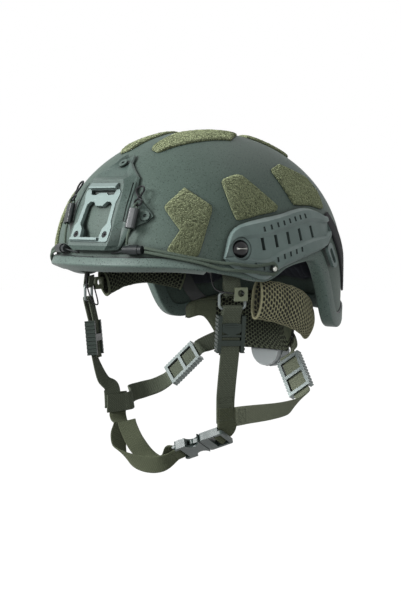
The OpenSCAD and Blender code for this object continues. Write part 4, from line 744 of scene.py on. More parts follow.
class Graph:
    """Adds shader nodes to a tree and wires them."""

    def __init__(self, tree: bpy.types.NodeTree) -> None:
        self.tree = tree

    def feed(self, socket: Socket, value: object) -> None:
        """Links a socket to an output or sets its value.

        Args:
            socket: Input of a node.
            value: Output or value that it takes.
        """
        if isinstance(value, bpy.types.NodeSocket):
            self.tree.links.new(value, socket)
        else:
            socket.default_value = value

    def add(self, kind: str, settings: dict[str, object] | None = None, **inputs: object) -> bpy.types.Node:
        """Adds a node.

        Args:
            kind: Type of the node without its common start.
            settings: Properties of the node.
            **inputs: Values or outputs by socket name, spaces as underscores.

        Returns:
            The node.
        """
        node = self.tree.nodes.new("ShaderNode" + kind)
        for key, value in (settings or {}).items():
            setattr(node, key, value)
        for key, value in inputs.items():
            self.feed(node.inputs[key.replace("_", " ")], value)
        return node

    def math(self, operation: str, a: object, b: object = 0.0) -> Socket:
        """Adds a maths node.

        Args:
            operation: What the node does.
            a: First value.
            b: Second value.

        Returns:
            The node's output.
        """
        node = self.add("Math", {"operation": operation})
        self.feed(node.inputs[0], a)
        self.feed(node.inputs[1], b)
        return node.outputs[0]

    def mix(self, factor: object, a: object, b: object) -> Socket:
        """Mixes two colours.

        Args:
            factor: Share of the second colour.
            a: First colour.
            b: Second colour.

        Returns:
            The mixed colour.
        """
        node = self.add("Mix", {"data_type": "RGBA"})
        for socket, value in ((node.inputs[0], factor), (node.inputs[6], a), (node.inputs[7], b)):
            value = (*value, 1.0) if isinstance(value, tuple) and len(value) == 3 else value
            self.feed(socket, value)
        return node.outputs[2]

    def remap(self, value: Socket, low: float, high: float, start: float = 0.0, end: float = 1.0) -> Socket:
        """Returns a value mapped from low and high to start and end, clamped."""
        node = self.add("MapRange", None, Value=value, From_Min=low, From_Max=high, To_Min=start, To_Max=end)
        return node.outputs[0]

    def bump(self, height: Socket, strength: float, distance: float) -> Socket:
        """Returns the normal bent by a height, where 1 stands for a distance in metres."""
        return self.add("Bump", None, Strength=strength, Distance=distance, Height=height).outputs[0]

    def seen_plain(self) -> Socket:
        """Returns 1 for the rays that see the plain background: camera, glossy and transmission."""
        rays = self.add("LightPath").outputs
        seen = self.math("MAXIMUM", rays["Is Camera Ray"], rays["Is Transmission Ray"])
        return self.math("MAXIMUM", seen, rays["Is Glossy Ray"])


class PatternGraph(Graph):
    """A graph inside a node group, with the group's coordinates."""

    def __init__(self, tree: bpy.types.NodeTree, inputs: Sequence[Socket]) -> None:
        super().__init__(tree)
        self.where = inputs["Vector"]

    def noise(
        self, size: float, detail: float = 2.0, rough: float = 0.5, where: Socket | None = None
    ) -> Socket:
        """Returns the value of a noise.

        Args:
            size: Cells per metre.
            detail: Octaves of finer noise.
            rough: Strength of the finer octaves.
            where: Coordinates, or None for the group's own.

        Returns:
            The value.
        """
        where = self.where if where is None else where
        node = self.add("TexNoise", None, Vector=where, Scale=size, Detail=detail, Roughness=rough)
        return node.outputs[0]

    def angles(self, along: float, across: float) -> tuple[Socket, Socket]:
        """Returns angles that turn once in each pitch along and across, pitches in metres."""
        parts = self.add("SeparateXYZ", None, Vector=self.where).outputs
        one, two = (self.math("MULTIPLY", parts[k], 2 * math.pi / p) for k, p in enumerate((along, across)))
        return one, two


def make_group(name: str, build: Callable[[PatternGraph], dict[str, Socket]]) -> bpy.types.NodeTree:
    """Makes a node group that turns coordinates into values.

    Args:
        name: Name of the group.
        build: Adds the nodes and returns the values by output name.

    Returns:
        The group.
    """
    group = bpy.data.node_groups.new(name, "ShaderNodeTree")
    group.interface.new_socket("Vector", in_out="INPUT", socket_type="NodeSocketVector")
    values = build(PatternGraph(group, group.nodes.new("NodeGroupInput").outputs))
    for output in values:
        group.interface.new_socket(output, in_out="OUTPUT", socket_type="NodeSocketFloat")
    end = group.nodes.new("NodeGroupOutput")
    for output, value in values.items():
        group.links.new(value, end.inputs[output])
    return group


def fleck_nodes(g: PatternGraph) -> dict[str, Socket]:
    """Fine paint flecks, a soft mottle and the paint's grain.

    Args:
        g: The pattern's nodes.

    Returns:
        The pattern's outputs by name.
    """
    return {
        "Dark": g.remap(g.noise(780.0, 1.0, 0.6), 0.60, 0.68),
        "Light": g.remap(g.noise(900.0, 1.0, 0.6), 0.62, 0.72),
        "Mottle": g.remap(g.noise(45.0, 3.0, 0.6), 0.35, 0.65),
        "Grain": g.noise(900.0, 3.0, 0.6),
    }


def pile_nodes(g: PatternGraph) -> dict[str, Socket]:
    """Loop pile: cells of light loops between dark gaps, shifted by up to 2 mm of noise.

    Args:
        g: The pattern's nodes.

    Returns:
        The pattern's outputs by name.
    """
    shift = g.add("VectorMath", {"operation": "MULTIPLY_ADD"})
    g.feed(shift.inputs[0], g.noise(260.0))
    shift.inputs[1].default_value = (0.002, 0.002, 0.002)
    g.feed(shift.inputs[2], g.where)
    cells = g.add("TexVoronoi", {"feature": "F1"}, Vector=shift.outputs[0], Scale=720.0)
    return {
        "Loop": g.remap(cells.outputs["Distance"], 0.0, 0.75, 1.0, 0.0),
        "Clump": g.remap(g.noise(360.0, 3.0, 0.7), 0.40, 0.60),
        "Shade": g.remap(g.noise(60.0), 0.3, 0.7),
    }


def weave_nodes(g: PatternGraph) -> dict[str, Socket]:
    """Flat webbing: ribs across its width crossed by picks along its length.

    Args:
        g: The pattern's nodes.

    Returns:
        The pattern's outputs by name.
    """
    along, across = g.angles(0.0024, 0.0024)
    wave = g.math("SINE", across)
    pick = g.math("SINE", g.math("ADD", along, g.math("MULTIPLY", g.math("SIGN", wave), 1.2)))
    rib = g.math("MULTIPLY", g.math("ABSOLUTE", wave), 0.6)
    height = g.math("ADD", rib, g.math("MULTIPLY", g.remap(pick, -1.0, 1.0), 0.4))
    return {"Height": height, "Fuzz": g.noise(900.0, 3.0, 0.7)}


def braid_nodes(g: PatternGraph) -> dict[str, Socket]:
    """Braided cord cover: two crossing families of strands.

    Args:
        g: The pattern's nodes.

    Returns:
        The pattern's outputs by name.
    """
    along, round_it = g.angles(0.0026, 0.0022)
    strands = [g.math(way, along, round_it) for way in ("ADD", "SUBTRACT")]
    one, two = (g.math("ABSOLUTE", g.math("SINE", strand)) for strand in strands)
    return {"Height": g.math("MAXIMUM", one, two), "Fuzz": g.noise(700.0)}


def knit_nodes(g: PatternGraph) -> dict[str, Socket]:
    """Brushed knit: fine nap over soft folds."""
    return {"Height": g.noise(1500.0, 3.0, 0.7), "Fuzz": g.remap(g.noise(90.0, 4.0, 0.6), 0.3, 0.7)}


def wear_nodes(g: PatternGraph) -> dict[str, Socket]:
    """Moulded or cast surface: grain, faint scuffs and a slow mottle.

    Args:
        g: The pattern's nodes.

    Returns:
        The pattern's outputs by name.
    """
    stretch = g.add("VectorMath", {"operation": "MULTIPLY"})
    g.feed(stretch.inputs[0], g.where)
    stretch.inputs[1].default_value = (1.0, 1.0, 6.0)
    return {
        "Grain": g.noise(2200.0),
        "Scuff": g.remap(g.noise(160.0, 4.0, 0.7, stretch.outputs[0]), 0.58, 0.75),
        "Mottle": g.remap(g.noise(70.0, 3.0), 0.35, 0.65),
    }


UV_PATTERNS = {Pattern.WEBBING, Pattern.BRAID}
# Patterns whose colour gets painted shade from occlusion in crevices and recesses, and how far the occlusion
# looks in metres.
PAINTED_SHADE_PATTERNS = {Pattern.PAINT, Pattern.MOULDED, Pattern.METAL}
PAINTED_SHADE_REACH = 0.006
PALE = (0.50, 0.54, 0.54)
PALE_BLEND = 0.0005
Look = tuple[Socket, Socket, Socket]
MESH_DEPTH = "mesh_depth"


def paint_look(g: Graph, f: Finish, out: Sequence[Socket]) -> Look:
    """Textured paint with dark and light flecks.

    Args:
        g: The material's nodes.
        f: The finish.
        out: The pattern's outputs by name.

    Returns:
        Colour, roughness and normal.
    """
    base = g.mix(out["Mottle"], f.colour, tuple(0.93 * c for c in f.colour))
    dark = g.mix(g.math("MULTIPLY", out["Dark"], 0.75), base, f.dark)
    light = g.mix(g.math("MULTIPLY", out["Light"], 0.5), dark, f.light)
    rough = g.remap(out["Grain"], 0.3, 0.7, f.rough - 0.06, f.rough + 0.08)
    return light, rough, g.bump(out["Grain"], f.bump, 0.0003)


def pile_look(g: Graph, f: Finish, out: Sequence[Socket]) -> Look:
    """Loops that catch the light over dark roots.

    Args:
        g: The material's nodes.
        f: The finish.
        out: The pattern's outputs by name.

    Returns:
        Colour, roughness and normal.
    """
    tone = g.mix(out["Clump"], f.dark, f.light)
    loops = g.mix(g.math("MULTIPLY", out["Loop"], 0.75), f.dark, tone)
    shade = g.mix(g.math("MULTIPLY", out["Shade"], 0.25), loops, f.colour)
    height = g.math("ADD", out["Loop"], out["Clump"])
    return shade, g.remap(out["Loop"], 0.0, 1.0, 1.0, f.rough), g.bump(height, f.bump, 0.0008)


def moulded_look(g: Graph, f: Finish, out: Sequence[Socket]) -> Look:
    """Moulded plastic, rubber or cast metal with faint scuffs.

    Args:
        g: The material's nodes.
        f: The finish.
        out: The pattern's outputs by name.

    Returns:
        Colour, roughness and normal.
    """
    base = g.mix(g.math("MULTIPLY", out["Mottle"], 0.5), f.colour, f.dark)
    scuffed = g.mix(g.math("MULTIPLY", out["Scuff"], 0.3), base, f.light)
    rough = g.remap(out["Mottle"], 0.0, 1.0, f.rough - 0.05, f.rough + 0.07)
    return scuffed, rough, g.bump(out["Grain"], f.bump, 0.0001)


def woven_look(g: Graph, f: Finish, out: Sequence[Socket]) -> Look:
    """Webbing and cord with lit yarns and dark gaps.

    Args:
        g: The material's nodes.
        f: The finish.
        out: The pattern's outputs by name.

    Returns:
        Colour, roughness and normal.
    """
    yarn = g.mix(out["Height"], f.dark, f.light)
    fuzz = g.mix(g.remap(out["Fuzz"], 0.35, 0.65, 0.0, 0.5), yarn, f.colour)
    height = g.math("ADD", out["Height"], g.math("MULTIPLY", out["Fuzz"], 0.35))
    return fuzz, g.remap(out["Height"], 0.0, 1.0, 0.95, f.rough), g.bump(height, f.bump, 0.0003)


def knit_look(g: Graph, f: Finish, out: Sequence[Socket]) -> Look:
    """Brushed cover cloth of the pads."""
    tone = g.mix(out["Fuzz"], f.dark, f.colour)
    nap = g.mix(g.remap(out["Height"], 0.4, 0.75, 0.0, 0.6), tone, f.light)
    return nap, g.remap(out["Height"], 0.3, 0.7, f.rough, 1.0), g.bump(out["Height"], f.bump, 0.0003)


def mesh_look(g: Graph, f: Finish, out: Sequence[Socket]) -> Look:
    """Spacer mesh with painted shade in the holes that the surface's depth attribute marks.

    Args:
        g: The material's nodes.
        f: The finish.
        out: The pattern's outputs by name.

    Returns:
        Colour, roughness and normal.
    """
    depth = g.add("Attribute", {"attribute_name": MESH_DEPTH}).outputs["Fac"]
    yarn = g.mix(g.remap(out["Height"], 0.35, 0.7), f.colour, f.light)
    # Painted shade: the colour turns to the dark tone as the holes deepen.
    colour = g.mix(g.remap(depth, 0.08, 0.6), yarn, f.dark)
    return colour, g.remap(out["Height"], 0.3, 0.7, f.rough, 1.0), g.bump(out["Height"], f.bump, 0.0003)


STYLES = {
    Pattern.PAINT: ("paint_flecks", fleck_nodes, paint_look),
    Pattern.PILE: ("loop_pile", pile_nodes, pile_look),
    Pattern.WEBBING: ("flat_weave", weave_nodes, woven_look),
    Pattern.BRAID: ("braid", braid_nodes, woven_look),
    Pattern.KNIT: ("brushed_knit", knit_nodes, knit_look),
    Pattern.MESH: ("brushed_knit", knit_nodes, mesh_look),
    Pattern.MOULDED: ("wear", wear_nodes, moulded_look),
    Pattern.METAL: ("wear", wear_nodes, moulded_look),
}


class Materials:
    """Builds each finish once and hands it out by name."""

    def __init__(self, finishes: Iterable[Finish]) -> None:
        made = {name: nodes for name, nodes, _ in STYLES.values()}
        self.groups = {name: make_group(name, nodes) for name, nodes in made.items()}
        self.made = {finish.name: self.build(finish) for finish in finishes}

    def __getitem__(self, name: str) -> bpy.types.Material:
        return self.made[name]

    def build(self, finish: Finish) -> bpy.types.Material:
        """Makes the material of a finish.

        Args:
            finish: What it looks like.

        Returns:
            The material.
        """
        material = bpy.data.materials.new(finish.name)
        material.use_nodes = True
        material.diffuse_color = (*finish.colour, 1.0)
        g = Graph(material.node_tree)
        inputs = material.node_tree.nodes["Principled BSDF"].inputs
        inputs["Metallic"].default_value = finish.metallic
        inputs["Specular IOR Level"].default_value = finish.specular
        inputs["Sheen Weight"].default_value = finish.sheen
        inputs["Sheen Roughness"].default_value = 0.6
        inputs["Sheen Tint"].default_value = (*(min(1.0, 2.4 * c) for c in finish.light), 1.0)
        where = g.add("TexCoord").outputs["UV" if finish.pattern in UV_PATTERNS else "Object"]
        name, _, look = STYLES[finish.pattern]
        group = g.add("Group", {"node_tree": self.groups[name]})
        g.feed(group.inputs["Vector"], where)
        colour, rough, normal = look(g, finish, group.outputs)
        if finish.pale_under is not None:
            height = g.add("SeparateXYZ", None, Vector=where).outputs[2]
            above = g.remap(height, finish.pale_under - PALE_BLEND, finish.pale_under + PALE_BLEND)
            colour = g.mix(above, PALE, colour)
        # Painted shade: where occlusion finds nearby surfaces, the colour turns towards a third of the dark
        # tone.
        if finish.pattern in PAINTED_SHADE_PATTERNS:
            open_air = g.add("AmbientOcclusion", {"samples": 8}, Distance=PAINTED_SHADE_REACH).outputs["AO"]
            colour = g.mix(g.remap(open_air, 0.30, 0.95), tuple(0.3 * c for c in finish.dark), colour)
        for name, value in (("Base Color", colour), ("Roughness", rough), ("Normal", normal)):
            g.feed(inputs[name], value)
        return material


FINISHES = (
    Finish("shell_paint", Pattern.PAINT, (0.072, 0.106, 0.088), (0.016, 0.026, 0.021),
           (0.15, 0.20, 0.17), 0.58),
    Finish("edge_rubber", Pattern.PAINT, (0.098, 0.140, 0.122), (0.012, 0.020, 0.016),
           (0.18, 0.23, 0.20), 0.50),
    Finish("insert_metal", Pattern.METAL, (0.200, 0.262, 0.248), (0.145, 0.192, 0.182),
           (0.40, 0.47, 0.45), 0.38, 0.20),
    Finish("black_steel", Pattern.METAL, (0.018, 0.019, 0.020), (0.010, 0.010, 0.011),
           (0.10, 0.10, 0.10), 0.30, 0.6),
    Finish("bolt_steel", Pattern.METAL, (0.008, 0.009, 0.010), (0.006, 0.006, 0.007),
           (0.02, 0.02, 0.02), 0.16, bump=0.03, specular=0.35),
    Finish("loop_pile", Pattern.PILE, (0.108, 0.130, 0.070), (0.010, 0.015, 0.007),
           (0.315, 0.352, 0.205), 0.85, sheen=1.0, bump=1.0),
    Finish("rail_plastic", Pattern.MOULDED, (0.160, 0.218, 0.204), (0.115, 0.158, 0.147),
           (0.26, 0.33, 0.31), 0.42, bump=0.3),
    Finish("bright_steel", Pattern.METAL, (0.42, 0.43, 0.40), (0.30, 0.31, 0.28),
           (0.7, 0.7, 0.68), 0.3, 1.0),
    Finish("shock_cord", Pattern.BRAID, (0.050, 0.070, 0.054), (0.010, 0.016, 0.012),
           (0.105, 0.138, 0.106), 0.75, sheen=0.2, bump=0.8),
    Finish("guide_rubber", Pattern.MOULDED, (0.018, 0.022, 0.023), (0.011, 0.014, 0.014),
           (0.06, 0.065, 0.065), 0.40),
    Finish("hard_black", Pattern.MOULDED, (0.018, 0.023, 0.024), (0.012, 0.016, 0.016),
           (0.07, 0.08, 0.085), 0.30, specular=0.4),
    Finish("elastic", Pattern.WEBBING, (0.014, 0.015, 0.016), (0.006, 0.006, 0.007),
           (0.030, 0.031, 0.033), 0.8, bump=0.7),
    Finish("pad_cloth", Pattern.KNIT, (0.016, 0.018, 0.024), (0.008, 0.009, 0.012),
           (0.045, 0.050, 0.062), 0.92, sheen=0.25, bump=0.7),
    Finish("dial_plastic", Pattern.MOULDED, (0.50, 0.54, 0.54), (0.42, 0.46, 0.46),
           (0.68, 0.71, 0.71), 0.45),
    Finish("cradle_plastic", Pattern.MOULDED, (0.026, 0.030, 0.028), (0.018, 0.021, 0.020),
           (0.07, 0.075, 0.07), 0.45, pale_under=-0.072),
    # One spacer mesh in two copies: a darker one with painted shade for the nape pad and the far sleeve, and
    # a lighter one with painted light for the near sleeve.
    Finish("mesh_dark", Pattern.MESH, (0.088, 0.104, 0.066), (0.003, 0.004, 0.003),
           (0.180, 0.200, 0.132), 0.88, sheen=0.15, bump=0.7),
    Finish("mesh_light", Pattern.MESH, (0.300, 0.295, 0.165), (0.004, 0.005, 0.004),
           (0.520, 0.500, 0.320), 0.88, sheen=0.15, bump=0.7),
    Finish("lace_nylon", Pattern.MOULDED, (0.016, 0.017, 0.017), (0.010, 0.010, 0.010),
           (0.06, 0.06, 0.06), 0.4),
    Finish("clip_plastic", Pattern.MOULDED, (0.200, 0.225, 0.150), (0.150, 0.170, 0.110),
           (0.33, 0.36, 0.26), 0.5),
    Finish("webbing", Pattern.WEBBING, (0.084, 0.098, 0.070), (0.014, 0.018, 0.011),
           (0.138, 0.158, 0.112), 0.82, sheen=0.15, bump=1.0),
    # A lighter copy of the webbing with painted light, for the near rear strap.
    Finish("webbing_painted_lit", Pattern.WEBBING, (0.158, 0.174, 0.124), (0.036, 0.044, 0.027),
           (0.260, 0.284, 0.200), 0.82, sheen=0.15, bump=1.0),
    Finish("chin_cloth", Pattern.WEBBING, (0.046, 0.055, 0.030), (0.009, 0.012, 0.006),
           (0.098, 0.110, 0.066), 0.86, sheen=0.35, bump=1.0),
    Finish("thread", Pattern.MOULDED, (0.10, 0.115, 0.08), (0.06, 0.07, 0.05), (0.16, 0.18, 0.13), 0.7),
    Finish("shroud_paint", Pattern.PAINT, (0.070, 0.104, 0.090), (0.016, 0.026, 0.021),
           (0.13, 0.17, 0.15), 0.46),
    Finish("buckle_plastic", Pattern.MOULDED, (0.056, 0.079, 0.072), (0.038, 0.055, 0.050),
           (0.12, 0.15, 0.14), 0.36, specular=0.4),
    Finish("adjuster_plastic", Pattern.MOULDED, (0.022, 0.034, 0.027), (0.014, 0.022, 0.017),
           (0.07, 0.09, 0.078), 0.40),
    Finish("cam_metal", Pattern.METAL, (0.20, 0.23, 0.222), (0.11, 0.13, 0.125),
           (0.44, 0.48, 0.47), 0.34, 0.5),
)


# Building and dressing pieces


class Kit:
    """Adds pieces to the scene in place of the CAD nodes that they stand for.

    Points closer than weld mm are one, and faces within flat degrees are one. Shading breaks at
    edges of more than sharp degrees, and edges of more than rounded degrees get a bevel.
    """

    weld: float = 0.002
    flat: float = 1.0
    sharp: float = 24.0
    rounded: float = 34.0

    def __init__(self, frame: dict[str, object], materials: Materials) -> None:
        self.nodes = frame["nodes"]
        self.slots = {part["node"]: part["material_slot"] for part in frame["record"]["subparts"]}
        self.materials = materials

    def place(
        self, mesh: Mesh, finish: str, nodes: Sequence[str] = (), body: str = ROOT_BODY, slot: str = ""
    ) -> Piece:
        """Adds a piece that rides on a body.

        Args:
            mesh: Its mesh.
            finish: Name of its finish.
            nodes: CAD nodes that it stands for.
            slot: Material slot of a piece that stands for no node; not used.

        Returns:
            The object.
        """
        obj = add_object(mesh.name, mesh)
        mesh.materials.append(self.materials[finish])
        if nodes:
            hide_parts(*nodes)
        slot or self.slots[nodes[0]]
        if body:
            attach(obj, body)
        LOG.info("made %s of %s", obj.name, finish)
        return obj

    def bevelled(self, node: str, finish: str, width: float, body: str) -> Piece:
        """Replaces a hard CAD node with a copy whose edges are rounded.

        Args:
            node: Name of the node.
            finish: Name of its finish.
            width: Width of the rounding in mm.
            body: Body that it rides on.

        Returns:
            The object.
        """
        mesh = self.nodes[node].data.copy()
        mesh.name = "worked_" + node
        mesh.materials.clear()
        bm = bmesh.new()
        bm.from_mesh(mesh)
        bmesh.ops.remove_doubles(bm, verts=bm.verts, dist=self.weld * MM)
        bmesh.ops.dissolve_limit(bm, angle_limit=math.radians(self.flat), verts=bm.verts, edges=bm.edges)
        bm.to_mesh(mesh)
        bm.free()
        for attribute in [a.name for a in mesh.attributes if a.name in ("custom_normal", "sharp_face")]:
            mesh.attributes.remove(mesh.attributes[attribute])
        shade_smooth(mesh)
        mesh.set_sharp_from_angle(angle=math.radians(self.sharp))
        obj = self.place(mesh, finish, [node], body)
        bevel = obj.modifiers.new("rounded_edges", "BEVEL")
        bevel.width = width * MM
        bevel.segments = 2
        bevel.limit_method = "ANGLE"
        bevel.angle_limit = math.radians(self.rounded)
        flat = obj.modifiers.new("flat_faces", "WEIGHTED_NORMAL")
        flat.keep_sharp = True
        flat.weight = 90
        return obj

    def strap(
        self, name: str, keys: Sequence[Key], finish: str, node: str, body: str = ROOT_BODY,
        right: bool = False,
    ) -> Piece:
        """Adds a strip of webbing through keys of point and width direction.

        Args:
            name: Name of the piece.
            keys: Keys of its route on the left.
            finish: Name of its finish.
            node: CAD node that it stands for.
            body: Body that it rides on, or an empty string where it bends.
            right: Whether it is mirrored to the right.

        Returns:
            The object.
        """
        rings, uv = ribbon_rings(keys, MADE.web_w, MADE.web_t, 12)
        return self.place(loft_mesh(name, mirrored(rings, right), uv), finish, [node], body)

    def tube(
        self, name: str, lines: Sequence[Array], diameters: Sequence[float], finish: str, node: str
    ) -> Piece:
        """Adds tubes as one piece.

        Args:
            name: Name of the piece.
            lines: Middle lines.
            diameters: Diameter of each.
            finish: Name of the finish.
            node: CAD node that they stand for.

        Returns:
            The object.
        """
        meshes = []
        for line, diameter in zip(lines, diameters):
            rings, uv = tube_rings(line, diameter)
            meshes.append(loft_mesh(name, rings, uv))
        return self.place(join_meshes(name, meshes), finish, [node])


def mirrored(points: Array, right: bool) -> Array:
    """Returns the points, mirrored to the right side if asked."""
    return points * MIRROR if right else points


def join_meshes(name: str, meshes: Sequence[Mesh]) -> Mesh:
    """Joins meshes into one and removes them.

    Args:
        name: Name of the joined mesh.
        meshes: Meshes to join.

    Returns:
        The joined mesh.
    """
    bm = bmesh.new()
    for mesh in meshes:
        bm.from_mesh(mesh)
    joined = bpy.data.meshes.new(name)
    bm.to_mesh(joined)
    bm.free()
    for mesh in meshes:
        bpy.data.meshes.remove(mesh)
    joined.name = name
    return joined


def lumps(a: Array, b: Array, seed: int) -> Array:
    """Returns a soft random field between about -1 and 1: a sum of six crossed waves.

    Args:
        a: First coordinate in units of the lumps' size.
        b: Second coordinate.
        seed: Picks the field.

    Returns:
        Values of the same shape.
    """
    turn = np.random.default_rng(seed).uniform(0, 2 * np.pi, (6, 3))
    total = np.zeros(np.broadcast(a, b).shape)
    for k, (angle, one, two) in enumerate(turn):
        size = 1.0 + 0.35 * k
        wave = np.sin(size * (a * np.cos(angle) + b * np.sin(angle)) * 2.2 + one)
        total += wave * np.cos(size * b * 1.3 + two)
    return total / 3.2


# The shell and what is fixed to it


BOLT = (58.0, 16.2)


@dataclass(frozen=True)
class Shell:
    """The painted shell and its rubber edge."""

    columns: int = 288
    skirt_rows: int = 12
    dome_rows: int = 46
    dome_v: Pair = (3.0, 88.5)
    seam_d: float = 1.5
    seam_off: Pair = (0.25, 0.1)
    slot_floor: float = 6.55
    slot_size: Triple = (0.25, 9.8, 1.7)

    def build(self, kit: Kit) -> None:
        """Adds the shell, the trim and the painted highlights in the bolts' slots."""
        self.build_shell(kit)
        self.build_trim(kit)
        self.build_slot_highlights(kit)

    def build_slot_highlights(self, kit: Kit) -> None:
        """Adds bright steel bars in the slots of the rail bolts, a painted highlight for the light that the
        slots reflect.

        Args:
            kit: Adds the pieces.
        """
        n = SHELL.normal_z(*BOLT)
        deep, long, wide = self.slot_size
        ring = [[-long, -wide], [long, -wide], [long, wide], [-long, wide]]
        rings = [[[x, u / 2, w / 2] for u, w in ring] for x in (0.0, deep)]
        points = from_local(SHELL.skin_z(*BOLT, self.slot_floor), n, UP, np.array(rings))
        meshes = [loft_mesh("slot", mirrored(points, right)) for right in SIDES.values()]
        # Painted highlight: bright steel bars at the floor of each bolt's slot stand for the slot's
        # reflection.
        kit.place(join_meshes("bolt_slot_floors", meshes), "bright_steel", slot=kit.slots["rail_bolts"])

    def bearings(self) -> Array:
        """Returns the bearings of the columns."""
        return np.arange(self.columns) * 360.0 / self.columns

    def build_shell(self, kit: Kit) -> None:
        """Adds the shell as one closed smooth mesh.

        Rows of the skirt run evenly from the edge to the first row of the dome, and the dome's
        rows are evenly spaced in v. The inner face lies a wall's thickness inside.

        Args:
            kit: Adds the pieces.
        """
        a = self.bearings()
        low, start = SHELL.v_of(SHELL.edge_z(a)), self.dome_v[0]
        skirt = low + (start - low) * np.linspace(0, 1, self.skirt_rows, endpoint=False)[:, None]
        dome = np.linspace(*self.dome_v, self.dome_rows)[:, None] + 0 * a
        v = np.vstack([skirt, dome])
        wide = np.broadcast_to(a, v.shape)
        outer, inner = SHELL.skin(wide, v), SHELL.skin(wide, v, -SHELL.wall + 0 * v)
        r, c = v.shape
        m = r * c
        top = [[0, 0, SHELL.crown], [0, 0, SHELL.crown - SHELL.wall]]
        points = np.vstack([outer.reshape(-1, 3), inner.reshape(-1, 3), top])
        first = np.arange(c)
        faces = np.vstack([
            grid_faces(r, c, True),
            grid_faces(r, c, True, m)[:, ::-1],
            bridge(first, m + first),
            fan((r - 1) * c + first, 2 * m),
            fan(m + (r - 1) * c + first, 2 * m + 1),
        ])
        kit.place(build_mesh("helmet_shell", points, faces), "shell_paint", ["shell"])

    def build_trim(self, kit: Kit) -> None:
        """Adds the edge trim, a rounded section carried round the edge, and the seam above its lip.

        Args:
            kit: Adds the pieces.
        """
        g, t, w = MADE.trim_gap, MADE.trim_t, SHELL.wall
        o, i, base = g + t, w + g + t, -MADE.trim_web
        corners = [
            (0.0, 1, o, 0.9), (base, 0, o, 1.9), (base, 0, -i, 1.9), (0.0, 1, -i, 0.9),
            (0.0, 1, -w - g, 0.3), (-MADE.trim_seat, 0, -w - g, 0.3),
            (-MADE.trim_seat, 0, g, 0.3), (0.0, 1, g, 0.3),
        ]
        a = self.bearings()
        back = np.clip((np.abs(turned(a)) - 84) / 16, 0, 1)
        leg = MADE.trim_leg + (MADE.trim_leg_rear - MADE.trim_leg) * back
        section = rounded_section(corners)
        u = section[None, :, 0] + section[None, :, 1] * leg[:, None]
        rings = SHELL.off_edge(a[:, None], u, section[None, :, 2])
        kit.place(loft_mesh("rubber_edge", rings, capped=False), "edge_rubber", ["edge_trim"])
        closed = np.append(np.arange(0, self.columns, 2), 0)
        seam = SHELL.off_edge(a[closed], leg[closed] + self.seam_off[0], g + self.seam_off[1])
        mesh = loft_mesh("edge_seam", *tube_rings(seam, self.seam_d, 6))
        kit.place(mesh, "guide_rubber", slot=kit.slots["edge_trim"])


def rounded_section(corners: Sequence[tuple[float, int, float, float]]) -> Array:
    """Rounds the corners of a closed section with curves that start and end a radius from each.

    Args:
        corners: Rows of height, share of the leg's height, offset and radius.

    Returns:
        Rows of height, share of the leg and offset.
    """
    rows = np.asarray(corners, dtype=float)
    leg = MADE.trim_leg * rows[:, 1]
    reach = np.stack([rows[:, 0] + leg, rows[:, 2]], axis=-1)
    result = []
    for k in range(len(rows)):
        before, after = reach[k - 1] - reach[k], reach[(k + 1) % len(rows)] - reach[k]
        p = reach[k] + unit(before) * rows[k, 3]
        q = reach[k] + unit(after) * rows[k, 3]
        for s in (0.0, 0.33, 0.67, 1.0):
            at = (1 - s) ** 2 * p + 2 * s * (1 - s) * reach[k] + s * s * q
            result.append([at[0] - leg[k], rows[k, 1], at[1]])
    return np.array(result)


class Wall(Enum):
    """How a net of points lies on the shell."""

    SIDE = "bearing and height"
    CROWN = "plan position"


def on_shell(net: Array, off: Array, wall: Wall) -> Array:
    """Carries a net of places and offsets to points on the shell.

    Args:
        net: Places, as bearing and height or as plan position.
        off: Distances outward, of the net's shape.
        wall: What the places are.

    Returns:
        The points.
    """
    if wall is Wall.CROWN:
        return SHELL.skin_plan(net[..., 0], net[..., 1], off)
    return SHELL.skin_z(net[..., 0], net[..., 1], off)


@dataclass(frozen=True)
class LoopPatch:
    """A patch of loop pile glued to the shell."""

    name: str
    net: Net
    wall: Wall = Wall.SIDE
    paired: bool = True
    steps: int = 84
    corner_pull: float = 0.055
    fray: float = 0.006
    loop: float = 0.16
    lump: float = 0.25

    def build(self, kit: Kit, seed: int) -> None:
        """Adds the patch, and its twin where it is one of a pair.

        Its corners are drawn in and its border frays, the pile falls off towards the border, and
        random loops and soft lumps roughen it.

        Args:
            kit: Adds the pieces.
            seed: Picks the random loops.
        """
        rows, columns = fractions(self.steps, self.steps)
        y, x = 2 * rows - 1, 2 * columns - 1
        rim = np.maximum(np.abs(x), np.abs(y))
        pull = 1 - self.corner_pull * np.abs(x * y) ** 7
        frayed = self.fray * lumps(9 * x, 9 * y, seed) * (rim > 0.97)
        net = bilinear(self.net, (y * (pull + frayed) + 1) / 2, (x * (pull + frayed) + 1) / 2)
        border = 1 - rim**14
        loops = np.random.default_rng(seed).normal(0, self.loop, x.shape)
        pile = loops + self.lump * lumps(16 * x, 16 * y, seed + 1)
        height = MADE.skin_gap + MADE.patch_t * (0.35 + 0.65 * border) + pile * border
        foot = np.full(x.shape, MADE.skin_gap - MADE.sunk)
        outer, inner = on_shell(net, height, self.wall), on_shell(net, foot, self.wall)
        for side, right in SIDES.items() if self.paired else (("", False),):
            name = "_".join(filter(None, (self.name, side)))
            mesh = sheet_mesh("pile_" + name, mirrored(outer, right), mirrored(inner, right))
            kit.place(mesh, "loop_pile", ["patch_" + name])


